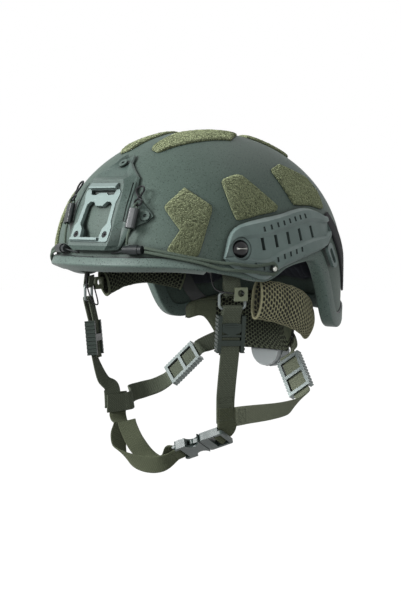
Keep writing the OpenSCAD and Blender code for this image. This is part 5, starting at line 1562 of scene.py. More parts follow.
PATCH_SEEDS = range(20, 38, 3)
PATCHES = (
    LoopPatch("front", (
        ((30.3, 14.5), (36.4, 11.8), (42.2, 9.2)), ((35.4, 32.5), (40.4, 33), (45.2, 33)),
        ((31.4, 44), (38.8, 50), (47.2, 46.5)), ((28.2, 52.5), (36, 69), (48, 53)),
    )),
    LoopPatch("middle", (
        ((57.6, 40.2), (68, 45), (79.3, 48.8)), ((55.4, 54), (67, 57), (80.8, 53)),
        ((52.5, 75.5), (57.5, 79), (63.5, 81.5)),
    )),
    LoopPatch("rear", (
        ((92.2, 54), (105, 54), (117.5, 50)), ((89.8, 68), (105, 71), (121, 66)),
        ((86.5, 86), (99, 91), (119, 79.2)),
    )),
    LoopPatch("top", (
        ((12.5, -79), (19, -80.5), (25, -81.6)), ((9, -44), (26, -46), (41, -47)),
        ((21, -8), (37, -11), (52, -14.4)), ((30, 10), (33, 13), (37, 10)),
    ), Wall.CROWN),
    LoopPatch("crown", (
        ((12, 38), (25, 31), (37, 23)), ((19, 62), (34, 54), (48, 44)), ((27, 84), (42, 75), (56, 62)),
    ), Wall.CROWN),
    LoopPatch("back", (
        ((160, 14), (180, 10), (200, 14)), ((151, 42), (180, 42), (209, 42)),
        ((160, 66), (180, 72), (200, 66)),
    ), paired=False),
)


@dataclass(frozen=True)
class Cords:
    """Bungees, lanyards, hooks and the elastic straps down the back."""

    route: tuple[Triple, ...] = (
        (23.3, 15.3, 4.9), (31, 11.4, 4.6), (42, 5.6, 5), (49.5, 1.6, 7), (54, 0.2, 9.6), (62, -1.6, 9.6),
    )
    post: Pair = (70.4, -1.0)
    strand_gap: float = 1.65
    lanyards: Net = (
        ((16.4, 20), (17.6, 32.5), (18.2, 48.4), (19.2, 53.6), (18.6, 67)),
        ((16.2, 20), (15.2, 36.2), (16.8, 52.2), (17.6, 57.4), (20.4, 72)),
    )
    lanyard_d: Pair = (2.2, 1.5)
    foot_off: float = 4.9
    lanyard_off: float = 7.4
    tip_off: float = 6.0
    eye_r: float = 3.3
    hook_wire: float = 1.7
    keeper: Net = (
        ((137, -27), (141, -25), (145, -23)), ((127.5, 3), (132, 5), (136.5, 7)),
        ((119.6, 26), (124, 29), (128.5, 32)), ((114, 42), (117.5, 45.5), (121, 48)),
    )
    keeper_t: float = 2.0
    keeper_size: Pair = (84.0, 15.0)
    keeper_drop: float = 0.15
    keeper_rib: float = 0.14
    keeper_ribs: int = 56

    def build(self, kit: Kit) -> None:
        """Adds the cords and elastic of both sides.

        Args:
            kit: Adds the pieces.
        """
        bungee = self.bungee_line()
        for side, right in SIDES.items():
            line = mirrored(bungee, right)
            kit.tube("cord_" + side, [line], [MADE.bungee_d], "shock_cord", "bungee_" + side)
        cords, hooks = [], []
        for right, route in zip(SIDES.values(), self.lanyards):
            cord, loop, eye, hook = (mirrored(line, right) for line in self.lanyard(route))
            cords += [cord, loop]
            hooks += [eye, hook]
        kit.tube("lanyard_cords", cords, self.lanyard_d * 2, "shock_cord", "lanyards")
        kit.tube("wire_hooks", hooks, [self.hook_wire] * 4, "black_steel", "snap_hooks")
        self.build_keepers(kit)

    def bungee_line(self) -> Array:
        """Returns the middle line of a bungee: along its route, round its post and back.

        Returns:
            Points as rows.
        """
        a, z, off = np.array(self.route).T
        upper, lower = (SHELL.skin_z(a, z + g, off) for g in (self.strand_gap, -self.strand_gap))
        n = SHELL.normal_z(*self.post)
        centre = SHELL.skin_z(*self.post, MADE.rail_t + MADE.run_gap + MADE.bungee_d / 2 + 0.45)
        turn = np.radians(np.arange(110, -111, -44))
        reach = MADE.post_d * 0.75 + MADE.bungee_d / 2
        ring = np.stack([0 * turn, reach * np.cos(turn), reach * np.sin(turn)], axis=-1)
        loop = from_local(centre, n, UP, ring)
        return spline(np.vstack([upper, loop, lower[::-1]]), 10)

    def lanyard(self, route: Sequence[Pair]) -> tuple[Array, Array, Array, Array]:
        """Returns the lines of a lanyard's cord, its loop, the hook's eye and the hook.

        Args:
            route: Bearings and heights of the foot, lock ends, eye and tip.

        Returns:
            Four lines of points.
        """
        foot = SHELL.skin_z(*route[0], self.foot_off)
        low, top, eye = (SHELL.skin_z(*route[k], self.lanyard_off) for k in (1, 2, 3))
        low = low - MADE.run_gap * UP
        cord = spline(np.array([foot, (foot + low) / 2 + [0, -0.8, 0], low]), 12)
        n, m = SHELL.normal_z(*route[2]), SHELL.normal_z(*route[3])
        wire, bend = np.linalg.norm(eye - top) - self.eye_r, self.hook_wire / 2 + 1.45
        start = 1.5 * MADE.run_gap
        ring = [
            [start, 0, bend], [wire, 0, bend], [wire + 0.7 * bend, 0, 0.7 * bend],
            [wire + bend, 0, 0], [wire + 0.7 * bend, 0, -0.7 * bend], [wire, 0, -bend], [start, 0, -bend],
        ]
        loop = spline(from_local(top, eye - top, n, np.array(ring)), 6)
        tip = SHELL.skin_z(*route[4], self.tip_off)
        h = np.linalg.norm(tip - eye)
        r, turn = self.eye_r, np.radians(np.arange(0, 364, 9))
        circle = np.stack([r * np.cos(turn), r * np.sin(turn), 0 * turn], axis=-1)
        hook = [
            [r - 0.1, 0.4, 0], [r + 2, 0.6, 0], [h * 0.6, 3.4, 0], [h * 0.85, 3.9, 0], [h, 1.4, 0],
            [h * 0.97, -2.2, 0], [h * 0.75, -3.2, 0], [h * 0.5, -1.8, 0], [r + 1.4, -1.1, 0],
        ]
        ring, wire_line = (from_local(eye, tip - eye, m, np.array(points)) for points in (circle, hook))
        return cord, loop, ring, spline(wire_line, 6)

    def build_keepers(self, kit: Kit) -> None:
        """Adds the elastic straps from the rails down the back, ribbed along and thin at the edges.

        Args:
            kit: Adds the pieces.
        """
        rows, columns = fractions(150, 26)
        net = bilinear(self.keeper, rows, columns)
        side = np.abs(2 * columns - 1)
        ribs = self.keeper_rib * np.sin(2 * np.pi * rows * self.keeper_ribs)
        swell = self.keeper_t * np.sqrt(1 - 0.75 * side**8)
        height = MADE.skin_gap + swell + ribs * (1 - side**8) - self.keeper_drop
        outer = on_shell(net, height, Wall.SIDE)
        inner = on_shell(net, np.full(rows.shape, MADE.skin_gap - MADE.sunk), Wall.SIDE)
        long, wide = self.keeper_size
        uv = np.stack([rows * long, (columns - 0.5) * wide], axis=-1)
        meshes = [
            sheet_mesh("back_elastic", mirrored(outer, right), mirrored(inner, right), uv)
            for right in SIDES.values()
        ]
        kit.place(join_meshes("back_elastic", meshes), "elastic", ["rear_keepers"])


# The padded liner and the fit band


def mesh_holes(u: Array, v: Array, pitch: float) -> Array:
    """Returns 0 on the yarns and 1 in the holes of a spacer mesh, a sum of three crossed waves.

    Args:
        u: First coordinate in mm.
        v: Second coordinate in mm.
        pitch: Distance between neighbouring holes in mm.

    Returns:
        Depths of the same shape.
    """
    k = 4 * np.pi / (np.sqrt(3) * pitch)
    waves = [np.cos(k * (u * np.cos(t) + v * np.sin(t))) for t in np.radians([0, 60, 120])]
    return smooth_step((sum(waves) + 1.0) / 1.1)


def set_depth(mesh: Mesh, depth: Array) -> None:
    """Stores the depth of the spacer mesh's holes on the points."""
    attribute = mesh.attributes.new(MESH_DEPTH, "FLOAT", "POINT")
    attribute.data.foreach_set("value", depth.astype(np.float32).ravel())


SWELL_STEPS = 20
SWELL_FORCE = 4.0


def inflate(obj: Piece, voxel: float, cap: float) -> None:
    """Swells a closed piece with a cloth simulation and keeps the result.

    Args:
        obj: The piece.
        voxel: Size of the remeshed faces in mm.
        cap: Furthest that a point may move in mm.
    """
    remesh = obj.modifiers.new("even_faces", "REMESH")
    remesh.mode = "VOXEL"
    remesh.voxel_size = voxel * MM
    bake(obj)
    start = vectors(obj.data.vertices, "co")
    cloth = obj.modifiers.new("swell", "CLOTH")
    cloth.settings.use_pressure = True
    cloth.settings.uniform_pressure_force = SWELL_FORCE
    cloth.settings.effector_weights.gravity = 0.0
    cloth.settings.quality = 5
    scene = bpy.context.scene
    for step in range(1, SWELL_STEPS + 1):
        scene.frame_set(step)
    graph = bpy.context.evaluated_depsgraph_get()
    moved = vectors(obj.evaluated_get(graph).data.vertices, "co") - start
    obj.modifiers.remove(cloth)
    scene.frame_set(1)
    length = np.maximum(np.linalg.norm(moved, axis=1, keepdims=True), 1e-9)
    move_points(obj.data, start + moved * np.minimum(1.0, cap * MM / length))


def bake(obj: Piece) -> None:
    """Applies the modifiers of a piece to its mesh.

    Args:
        obj: The piece.
    """
    graph = bpy.context.evaluated_depsgraph_get()
    mesh = bpy.data.meshes.new_from_object(obj.evaluated_get(graph))
    old = obj.data
    obj.modifiers.clear()
    mesh.materials.clear()
    for material in old.materials:
        mesh.materials.append(material)
    obj.data = mesh
    bpy.data.meshes.remove(old)
    shade_smooth(mesh)


def subdivide(obj: Piece, levels: int) -> None:
    """Smooths a piece with applied subdivision.

    Args:
        obj: The piece.
        levels: Times that its faces are split.
    """
    smooth = obj.modifiers.new("smooth", "SUBSURF")
    smooth.levels = smooth.render_levels = levels
    bake(obj)


def vectors(values: bpy.types.bpy_prop_collection, key: str) -> Array:
    """Returns a vector of each entry of a mesh's points or point normals as rows.

    Args:
        values: The points or normals.
        key: Name of the vector.

    Returns:
        Rows of x, y and z.
    """
    flat = np.empty(3 * len(values), dtype=np.float32)
    values.foreach_get(key, flat)
    return flat.reshape(-1, 3).astype(float)


def move_points(mesh: Mesh, points: Array) -> None:
    """Puts the points of a mesh at rows of places in metres."""
    mesh.vertices.foreach_set("co", points.astype(np.float32).ravel())
    mesh.update()


def crown_of(x: Array) -> Array:
    """Returns the height of a cushion's crown at a fraction across it."""
    return 1 - np.abs(2 * x - 1) ** 3


def drawn_in(x: Array) -> Array:
    """Returns a fraction pulled in from the rim."""
    return 0.5 + (x - 0.5) * MADE.pad_draw


@dataclass(frozen=True)
class Pad:
    """A crowned impact pad inside the shell, sewn in vertical ribs."""

    name: str
    net: Net
    wall: Wall = Wall.SIDE
    paired: bool = False
    rib_pitch: float = 7.6
    rib_depth: float = 1.3
    girth_r: float = 98.0
    shrink: float = 1.4
    steps: int = 40
    fill: float = 0.75
    voxel: float = 5.0
    swell_cap: float = 2.6

    def build(self, kit: Kit) -> None:
        """Adds the pad, and its twin where it is one of a pair.

        Args:
            kit: Adds the pieces.
        """
        node = "pad_" + self.name + ("_left" if self.paired else "")
        obj = kit.place(self.start_mesh(), "pad_cloth", [node])
        inflate(obj, self.voxel, self.swell_cap)
        subdivide(obj, 2)
        self.sew_ribs(obj)
        if self.paired:
            mesh = obj.data.copy()
            mesh.name = "cushion_" + self.name + "_right"
            mesh.transform(Matrix.Diagonal((*MIRROR, 1.0)))
            mesh.flip_normals()
            mesh.materials.clear()
            kit.place(mesh, "pad_cloth", ["pad_" + self.name + "_right"])

    def start_mesh(self) -> Mesh:
        """Returns the pad before it swells: its net at the shell, and inside it a crowned face.

        Returns:
            The mesh.
        """
        rows, columns = fractions(self.steps, self.steps)
        u, s = pulled_in(rows, columns, 0.07, 5, 0.975)
        back = -SHELL.wall - MADE.pad_gap - self.shrink
        outer = on_shell(bilinear(self.net, u, s), np.full(rows.shape, back), self.wall)
        full, rim = MADE.pad_t - 1.5 * self.shrink, MADE.pad_edge - self.shrink
        depth = rim + (full - rim) * crown_of(rows) * crown_of(columns)
        inner = on_shell(bilinear(self.net, drawn_in(u), drawn_in(s)), back - depth, self.wall)
        return sheet_mesh("cushion_" + self.name, outer, inner)

    def sew_ribs(self, obj: Piece) -> None:
        """Presses the sewn channels, a rectified sine, into the face towards the head.

        Args:
            obj: The pad.
        """
        mesh = obj.data
        points, normal = vectors(mesh.vertices, "co") / MM, vectors(mesh.vertex_normals, "vector")
        inward = -unit(points - 0.35 * SHELL.crown * UP)
        facing = smooth_step(((normal * inward).sum(-1) + 0.15) / 0.6)
        bearing = np.arctan2(points[:, 0], -points[:, 1])
        across = points[:, 0] if self.wall is Wall.CROWN else bearing * self.girth_r
        phase = np.abs(np.sin(np.pi * across / self.rib_pitch))
        ribs = facing * self.rib_depth * (np.sqrt(phase) - 0.85)
        push = ribs + 0.12 * lumps(across / 9, points[:, 2] / 9, 5)
        move_points(mesh, (points + push[:, None] * normal) * MM)


PADS = (
    Pad("front", (
        ((-33, 25), (0, 25), (33, 25)), ((-33, 50), (0, 50), (33, 50)), ((-28, 74), (0, 78), (28, 74)),
    )),
    Pad("side", (
        ((66, 8), (82, 15), (98, 19)), ((62, 34), (82, 38), (102, 38)), ((66, 68), (84, 72), (100, 68)),
    ), paired=True),
    Pad("rear", (
        ((122, -34), (136, -30), (149, -26)), ((116, 14), (132, 14), (149, 14)),
        ((112, 62), (130, 66), (147, 62)),
    ), paired=True),
    Pad("back", (
        ((156, -24), (180, -22), (204, -24)), ((155, 20), (180, 20), (205, 20)),
        ((154, 66), (180, 70), (206, 66)),
    )),
    Pad("crown", (
        ((-38, -46), (0, -52), (38, -46)), ((-46, 0), (0, 0), (46, 0)), ((-38, 46), (0, 52), (38, 46)),
    ), Wall.CROWN),
)


RING_AT = np.array([93.0, -59.0, -29.0])
RING_OUT = np.array([0.85, -0.53, 0.0])
RING_WIDE = np.array([0.53, 0.85, 0.0])


@dataclass(frozen=True)
class FitBand:
    """The nape pad, its sleeves and the laces that draw the band in."""

    left_line: Route = ((97, -31, -29), (99, -6, -33), (97.5, 22, -40), (91, 44, -48), (80.5, 62, -56))
    left_half: tuple[float, ...] = (18.5, 19, 19.5, 19, 17)
    right_line: Route = ((97, -35, -21), (98, -8, -12), (96, 20, -9), (88, 44, -12.5), (77.5, 58.7, -18))
    right_half: tuple[float, ...] = (14.5, 15, 15, 15, 14)
    right_clip: Triple = (97.0, -42.0, -21.0)
    power: float = 2.2
    nape_grid: tuple[int, int] = (110, 250)
    nape_pitch: float = 4.3
    nape_fill: float = 0.6
    knit_half: float = 0.62
    girth_r: float = 88.0
    sleeve_steps: int = 36
    sleeve_sides: int = 132
    sleeve_pitch: float = 3.8
    sleeve_fill: float = 0.3
    hem: float = 1.5

    def build(self, kit: Kit) -> None:
        """Adds the nape pad, sleeves and laces.

        Args:
            kit: Adds the pieces.
        """
        self.build_nape(kit)
        # The near sleeve takes the lit copy of the mesh and its twin the shaded copy: painted light and
        # painted shade.
        self.build_sleeve(kit, self.left_line, self.left_half, "left", "mesh_light")
        self.build_sleeve(kit, self.right_line, self.right_half, "right", "mesh_dark")
        self.build_laces(kit)

    @staticmethod
    def nape_point(a: Array, z: Array, off: Array) -> Array:
        """Returns points of the band, whose plan is a superellipse.

        Args:
            a: Bearings.
            z: Heights.
            off: Distances outward.

        Returns:
            The points.
        """
        r = oval_radius(a, MADE.nape_w, MADE.nape_reach, FitBand.power) + off
        return np.stack([r * np.sin(np.radians(a)), -r * np.cos(np.radians(a)), z + 0 * r], axis=-1)

    @staticmethod
    def nape_z(a: Array, u: Array) -> Array:
        """Returns heights on the band, which is deep at the nape and narrows to its wings.

        Args:
            a: Bearings.
            u: Fractions from the lower edge up.

        Returns:
            Heights in mm.
        """
        b = np.abs(turned(a - 180))
        top = MADE.nape_top - MADE.wing_drop * (b / MADE.nape_span) ** 2
        s = smooth_step((b - 26) / 18)
        foot = (MADE.nape_top - MADE.nape_h) * (1 - s) + (top - MADE.wing_h) * s
        return top * u + foot * (1 - u)

    def build_nape(self, kit: Kit) -> None:
        """Adds the nape pad with its spacer mesh cover, plain on the wings and sewn near its rim.

        Args:
            kit: Adds the pieces.
        """
        rows, columns = fractions(*self.nape_grid)
        y, x = 2 * rows - 1, 2 * columns - 1
        u, s = pulled_in(rows, columns, 0.05, 6)
        low = 180 - MADE.nape_span
        a, b = low + 2 * MADE.nape_span * s, low + 2 * MADE.nape_span * drawn_in(s)
        width, height = np.radians(a - 180) * self.girth_r, self.nape_z(a, u)
        knit = 1 - smooth_step((np.abs(x) - self.knit_half) / 0.05)
        holes = mesh_holes(width, height, self.nape_pitch) * knit
        sewn = np.exp(-(((np.abs(y) - 0.84) / 0.035) ** 2)) + np.exp(-(((np.abs(x) - 0.93) / 0.012) ** 2))
        rim = MADE.nape_t * 0.45
        depth = rim + (MADE.nape_t - rim) * crown_of(rows) * crown_of(columns) - 0.9 * np.clip(sewn, 0, 1)
        round_off = 1.2 * (np.maximum(np.abs(x), np.abs(y)) ** 12)
        outer = self.nape_point(a, height, -0.5 * holes - round_off)
        inner = self.nape_point(b, self.nape_z(b, drawn_in(u)), -depth + 0.6 * holes + round_off)
        mesh = sheet_mesh("nape_cushion", outer, inner)
        set_depth(mesh, np.concatenate([holes.ravel(), holes.ravel()]))
        # The nape pad takes the shaded copy of the mesh: painted shade.
        kit.place(mesh, "mesh_dark", ["nape_pad"])

    def build_sleeve(self, kit: Kit, line: Route, halves: Sequence[float], name: str, finish: str) -> None:
        """Adds a sleeve of spacer mesh round an arm of the band, an ellipse carried along a line.

        Args:
            kit: Adds the pieces.
            line: Middle line on the left.
            halves: Half heights at the keys of the line.
            name: Name of its side.
            finish: Name of its finish.
        """
        right = SIDES[name]
        p = spline(np.array(line), self.sleeve_steps)
        half = spline(np.array(halves)[:, None], self.sleeve_steps)
        t = tangents(p)
        up = square_to([0, 0.2, 1.0], t)
        side = np.cross(t, up)
        turn = round_angles(self.sleeve_sides)
        run = run_along(p)[:, None]
        girth = (half + MADE.sleeve_t / 2) / 2 * turn[None, :]
        hem = np.minimum(run, run[-1] - run) < self.hem
        holes = np.where(hem, 0.0, mesh_holes(run, girth, self.sleeve_pitch))
        fold = 0.45 * lumps(run / 14, girth / 14, 3 + right)
        lip = np.where(hem, 0.35, 0.0)

        def rings(h: Array, thick: float, push: Array) -> Array:
            """Returns rings of half height h and half depth thick, both grown by push."""
            tall = (h + push) * np.sin(turn)
            deep = (thick + push) * np.cos(turn)
            return p[:, None] + tall[..., None] * up[:, None] - deep[..., None] * side[:, None]

        thin = MADE.sleeve_wall
        outer = rings(half, MADE.sleeve_t / 2, fold + lip - 0.6 - 0.85 * holes)
        inner = rings(half - thin, MADE.sleeve_t / 2 - thin, fold - 0.3 + 0.25 * holes)
        r, c = outer.shape[:2]
        m = r * c
        first, last = np.arange(c), (r - 1) * c + np.arange(c)
        faces = np.vstack([
            grid_faces(r, c, True),
            grid_faces(r, c, True, m)[:, ::-1],
            bridge(first, m + first),
            np.roll(bridge(m + last, last), 2, axis=1),
        ])
        points = np.vstack([outer.reshape(-1, 3), inner.reshape(-1, 3)])
        mesh = build_mesh("sleeve_cover_" + name, mirrored(points, right), faces)
        # Painted shade: the inner face counts as at least 0.35 deep, which darkens it all over.
        set_depth(mesh, np.concatenate([holes.ravel(), np.maximum(holes, 0.35).ravel()]))
        kit.place(mesh, finish, ["sleeve_" + name])

    def build_laces(self, kit: Kit) -> None:
        """Adds the laces from the shell's lining to their clips.

        Args:
            kit: Adds the pieces.
        """
        gap = SHELL.wall + MADE.skin_gap + MADE.lace_d / 2 + 0.2
        start = [
            SHELL.skin_z(44, 26, -gap), SHELL.skin_z(45, 14, -SHELL.wall - 2.4),
            SHELL.skin_z(47, 2, -SHELL.wall - 6), RING_AT + [-12, -15, 24],
        ]
        clip = RING_AT + 6.4 * RING_OUT + 6 * RING_WIDE + [0, 0, 5.5]
        ends = {
            "left": [
                RING_AT + [-9.5, -14.5, 14], RING_AT + [-3.5, -13.5, 8.5], clip - 6.6 * unit(RING_WIDE) + UP,
            ],
            "right": [
                RING_AT + [-13, -14, 8], RING_AT + [-13.5, -7.5, -8], RING_AT + [-8, 5, -11],
                np.array(self.right_clip) - [0.6, 6.6, 3],
            ],
        }
        for side, end in ends.items():
            line = mirrored(spline(np.array(start + end), 12), SIDES[side])
            kit.tube("fit_lace_" + side, [line], [MADE.lace_d], "lace_nylon", "lace_" + side)


# The harness


@dataclass(frozen=True)
class Harness:
    """Webbing of the four-point chin harness, with its stitching."""

    cam_at: Triple = (73.0, 53.0, -105.5)
    cam_along: Triple = (0.64, -0.31, -0.7)
    cam_wide: Triple = (0.79, 0.26, 0.56)
    adjuster_up: Triple = (0.09, -0.03, 1.0)
    left_drop: float = 30.0
    right_drop: float = 44.0
    left_wide: Triple = (0.45, 0.89, 0.0)
    right_wide: Triple = (-0.25, 0.97, 0.0)
    buckle_at: Triple = (52.4, -53.8, -160.5)
    buckle_along: Triple = (0.864, 0.344, 0.364)
    buckle_wide: Triple = (0.154, -0.861, 0.479)
    ring_fold: float = MADE.wire_d / 2 + MADE.run_gap + MADE.web_t / 2
    bar_fold: float = MADE.strap_bar_d / 2 + MADE.run_gap + MADE.web_t / 2
    blend_from: Triple = (-0.070, -0.040, -0.140)
    blend_to: Triple = (0.020, -0.065, -0.180)

    @property
    def junction(self) -> Array:
        """Where the front, rear and chin straps meet on the left."""
        return np.array([73.4, -46.0, -MADE.junction_drop])

    @staticmethod
    def face(wide: Array) -> Array:
        """Returns the outward normal of an upright strap of that width direction."""
        return unit(np.array([wide[1], -wide[0], 0.0]))

    def cam_point(self, x: float, y: float = 0.0) -> Array:
        """Returns a point in the frame of the cam buckle."""
        return from_local(self.cam_at, self.cam_along, self.cam_wide, np.array([x, y, 0]))

    def buckle_point(self, x: float, y: float, z: float = 0.0) -> Array:
        """Returns a point in the frame of the chin buckle."""
        return from_local(self.buckle_at, self.buckle_along, self.buckle_wide, np.array([x, y, z]))

    @staticmethod
    def fold_keys(bar: Array, fold: float, degrees: Iterable[float]) -> list[Key]:
        """Returns keys on a circle round a level bar of a strap ring.

        Args:
            bar: Middle of the bar.
            fold: Radius of the strap's middle line.
            degrees: Angles from straight out.

        Returns:
            Points with their width directions.
        """
        spokes_at = [(math.cos(math.radians(t)), math.sin(math.radians(t))) for t in degrees]
        return [(bar + fold * (c * RING_OUT + s * UP), RING_WIDE) for c, s in spokes_at]

    def anchor_keys(self) -> list[Key]:
        """Finds the keys of the tab from the rail's bolt round the strap ring.

        Returns:
            Points with their width directions.
        """
        (a, z), off = BOLT, -SHELL.wall - 2.7
        wide = np.array([np.cos(np.radians(a)), np.sin(np.radians(a)), 0])
        bar = from_local(RING_AT, UP, RING_WIDE, [MADE.ring_h / 2 - MADE.wire_d / 2, 0, 0])
        keys = [(SHELL.skin_z(a, z + rise, off), wide) for rise in (9, 0, -9)]
        keys.append((SHELL.skin_z(a + 1, -2, off - 8), wide))
        keys += self.fold_keys(bar, self.ring_fold + 0.15, range(30, -181, -30))
        return keys + [(bar - (self.ring_fold + 0.6) * RING_OUT + [-0.6, 0, 9], RING_WIDE)]

    def front_keys(self, drop: float, end: Array) -> list[Key]:
        """Returns the keys of a front strap through its adjuster and round its ring.

        Args:
            drop: How far the adjuster hangs below the ring.
            end: Width direction at the junction.

        Returns:
            Points with their width directions.
        """
        centre = RING_AT + [-2.9 * drop / 30, 1.2 * drop / 30, -drop]
        tail = -MADE.run_gap - MADE.divider_t - MADE.web_gap
        half = MADE.adjuster_l / 2
        bar = from_local(RING_AT, UP, RING_WIDE, [MADE.wire_d / 2 - MADE.ring_h / 2, 0, 0])

        def at(x: float, y: float) -> Array:
            """Returns a point in the adjuster's frame."""
            return from_local(centre, self.adjuster_up, RING_WIDE, [x, y, 0])

        keys = [
            (self.junction - [0, 0, 6], end), (self.junction, end), (self.junction + [1, -1, 14], end),
            ((self.junction + at(-half, 0)) / 2 + [0, -1.2, 0], (end + RING_WIDE) / 2),
        ]
        up_run = ((-half - 2, 0), (-half * 0.6, 0), (half * 0.6, 0), (half, 0.4))
        down_run = ((half, tail - 0.4), (half * 0.6, tail), (-half * 0.6, tail), (-half - 3, tail - 0.6))
        keys += [(at(*place), RING_WIDE) for place in up_run]
        keys += self.fold_keys(bar, self.ring_fold, (0, 60, 120, 180))
        return keys + [(at(*place), RING_WIDE) for place in down_run]

    def rear_keys(self, wide: Array) -> list[Key]:
        """Returns the keys of a rear strap from the nape through its cam buckle.

        Args:
            wide: Width direction at the junction.

        Returns:
            Points with their width directions.
        """
        half = MADE.cam_l / 2
        tab_z = MADE.nape_top - MADE.nape_h + 10
        rise = 2 * MADE.skin_gap + MADE.cradle_t + MADE.web_t / 2 + 0.6
        end = self.junction - [0, 0, 1.5] - MADE.web_gap * self.face(wide)
        drop = -MADE.junction_drop
        cam_wide = np.array(self.cam_wide)
        nape = FitBand.nape_point
        cam_keys = ((-half - 4, 0.3), (-half,), (-half * 0.5,), (half * 0.5,), (half,))
        return [
            (nape(162, tab_z + 5, rise), [0.2, -0.1, 0.95]),
            (nape(153, tab_z, rise), [0.35, -0.2, 0.88]),
            ((nape(146, tab_z - 3, rise + 1.2) + self.cam_point(-half - 2)) / 2, [0.6, 0.05, 0.75]),
            *((self.cam_point(*place), cam_wide) for place in cam_keys),
            (self.cam_point(half + 5, -0.6), [0.77, 0.22, 0.6]),
            ([92.5, 33, drop + 7], [0.66, 0.1, 0.74]), ([96, 18, drop + 4], [0.5, 0.05, 0.86]),
            ([93, -2, drop + 2], [0.4, 0, 0.9]),
            (end + 22 * wide + [1.6, 0, 2], [0.2, 0, 0.98]), (end + 10 * wide + [0, 0, 0.6], UP),
            (end, UP), (end - 7 * wide, UP),
        ]

    def chin_keys(self) -> list[Key]:
        """Finds the keys of the chin strap from the far junction round the socket's bar.

        Returns:
            Points with their width directions.
        """
        w0 = np.array([-self.right_wide[0], self.right_wide[1], 0])
        w9 = -np.array(self.buckle_wide)
        top = self.junction * MIRROR - (MADE.web_gap + 0.1) * self.face(w0) + 8 * w0 + [0, 0, 4]
        foot = MADE.strap_bar_d / 2 - MADE.buckle_l / 2
        r, at = self.bar_fold, self.buckle_point

        def low(x: float, y: float, up: float) -> Array:
            """Returns a point up above the chin strap's lowest."""
            return np.array([x, y, up - MADE.chin_drop])

        return [
            (top + [0, 0, 5], w0), (top, w0), (top + [0, -0.6, -8], w0), (top + [0, -1.4, -16], w0),
            ((top + [0, -1.4, -16] + low(-60, -47, 28.5)) / 2 + [-1.5, 0, 0], [0.2, 0.97, 0]),
            (low(-60, -47, 28.5), [0.15, 0.95, -0.1]), (low(-54, -57, 18.5), [0.3, 0.85, -0.35]),
            (low(-44, -64, 8), [0.3, 0.7, -0.6]), (low(-27, -68, 2), [0.2, 0.5, -0.85]),
            (low(-6.5, -69, 0), [0.1, 0.35, -0.93]), (low(12, -68.5, 2.6), [0, 0.45, -0.88]),
            *((at(foot + x, y), w9) for x, y in (
                (-7, -r - 0.8), (-3.5, -r - 0.2), (0, -r), (r * 0.75, -r * 0.75), (r * 1.05, 0),
                (r * 0.75, r * 0.75), (0, r), (-3, r + 0.4), (-6, r + 1.4),
            )),
            (low(14, -59, 7.5), [-0.05, 0.95, -0.3]), (low(-2, -57, 4.5), [0.1, 0.97, -0.1]),
            (low(-19.6, -55.4, 6.5), [0.35, 0.85, 0.3]), (low(-34, -54, 16), [0.45, 0.7, 0.5]),
            (low(-48, -49, 27), [0.45, 0.75, 0.45]), (low(-54, -46, 33), [0.4, 0.8, 0.4]),
        ]

    def tail_keys(self) -> list[Key]:
        """Finds the keys of the strap from the plug's bar up over the near junction.

        Returns:
            Points with their width directions.
        """
        left = np.array(self.left_wide)
        w9 = -np.array(self.buckle_wide)
        along = np.array(self.buckle_along)
        over = self.junction + (MADE.web_gap + 0.25) * self.face(left)
        end = MADE.buckle_l / 2
        bar = end - MADE.plug_end_l - MADE.plug_hole_l / 2
        r, g, at = self.bar_fold, MADE.web_gap, self.buckle_point
        outside = 2 * g + 0.2 + MADE.run_gap
        return [
            *((at(x, y), w9) for x, y in (
                (end + 1, outside), (bar + 5, outside), (bar, r + 0.6), (bar - r * 0.75, r * 0.8),
                (bar - r * 1.05, 0), (bar - r * 0.75, -r * 0.75), (bar, -r), (bar + r * 1.15, -0.4),
                (bar + r * 1.15 + 1.6, g * 0.6), (end - 1, g + 0.3),
            )),
            (at(end + 1.6, g + 1.8, 1.6), w9 + 0.25 * along), (over + [0.9, 0.2, -7.2], w9 + 0.6 * along),
            (over, left), (over + [0, 0, 8], left),
        ]

    def build(self, kit: Kit) -> None:
        """Adds the webbing and its stitching.

        Args:
            kit: Adds the pieces.
        """
        left, right = np.array(self.left_wide), np.array(self.right_wide)
        rings, uv = ribbon_rings(self.anchor_keys(), MADE.tab_w, MADE.web_t, 10)
        tabs = [loft_mesh("tab", mirrored(rings, mirror), uv) for mirror in SIDES.values()]
        kit.place(join_meshes("bolt_tabs", tabs), "webbing", ["anchor_tabs"])
        # The near rear strap takes the lighter copy of the webbing, which is painted light; its twin keeps
        # the plain webbing.
        for name, keys, finish in (
            ("front_left", self.front_keys(self.left_drop, left), "webbing"),
            ("front_right", self.front_keys(self.right_drop, right), "webbing"),
            ("rear_left", self.rear_keys(left), "webbing_painted_lit"),
            ("rear_right", self.rear_keys(right), "webbing"),
        ):
            place, side = name.split("_")
            kit.strap(f"{place}_webbing_{side}", keys, finish, f"{place}_strap_{side}", right=SIDES[side])
        kit.strap("chin_tail_webbing", self.tail_keys(), "chin_cloth", "chin_tail")
        sling = kit.strap("chin_sling", self.chin_keys(), "chin_cloth", "chin_strap", body="")
        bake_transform(sling, ROOT_BODY, CHIN_BODY, start=self.blend_from, end=self.blend_to)
        self.build_stitches(kit)

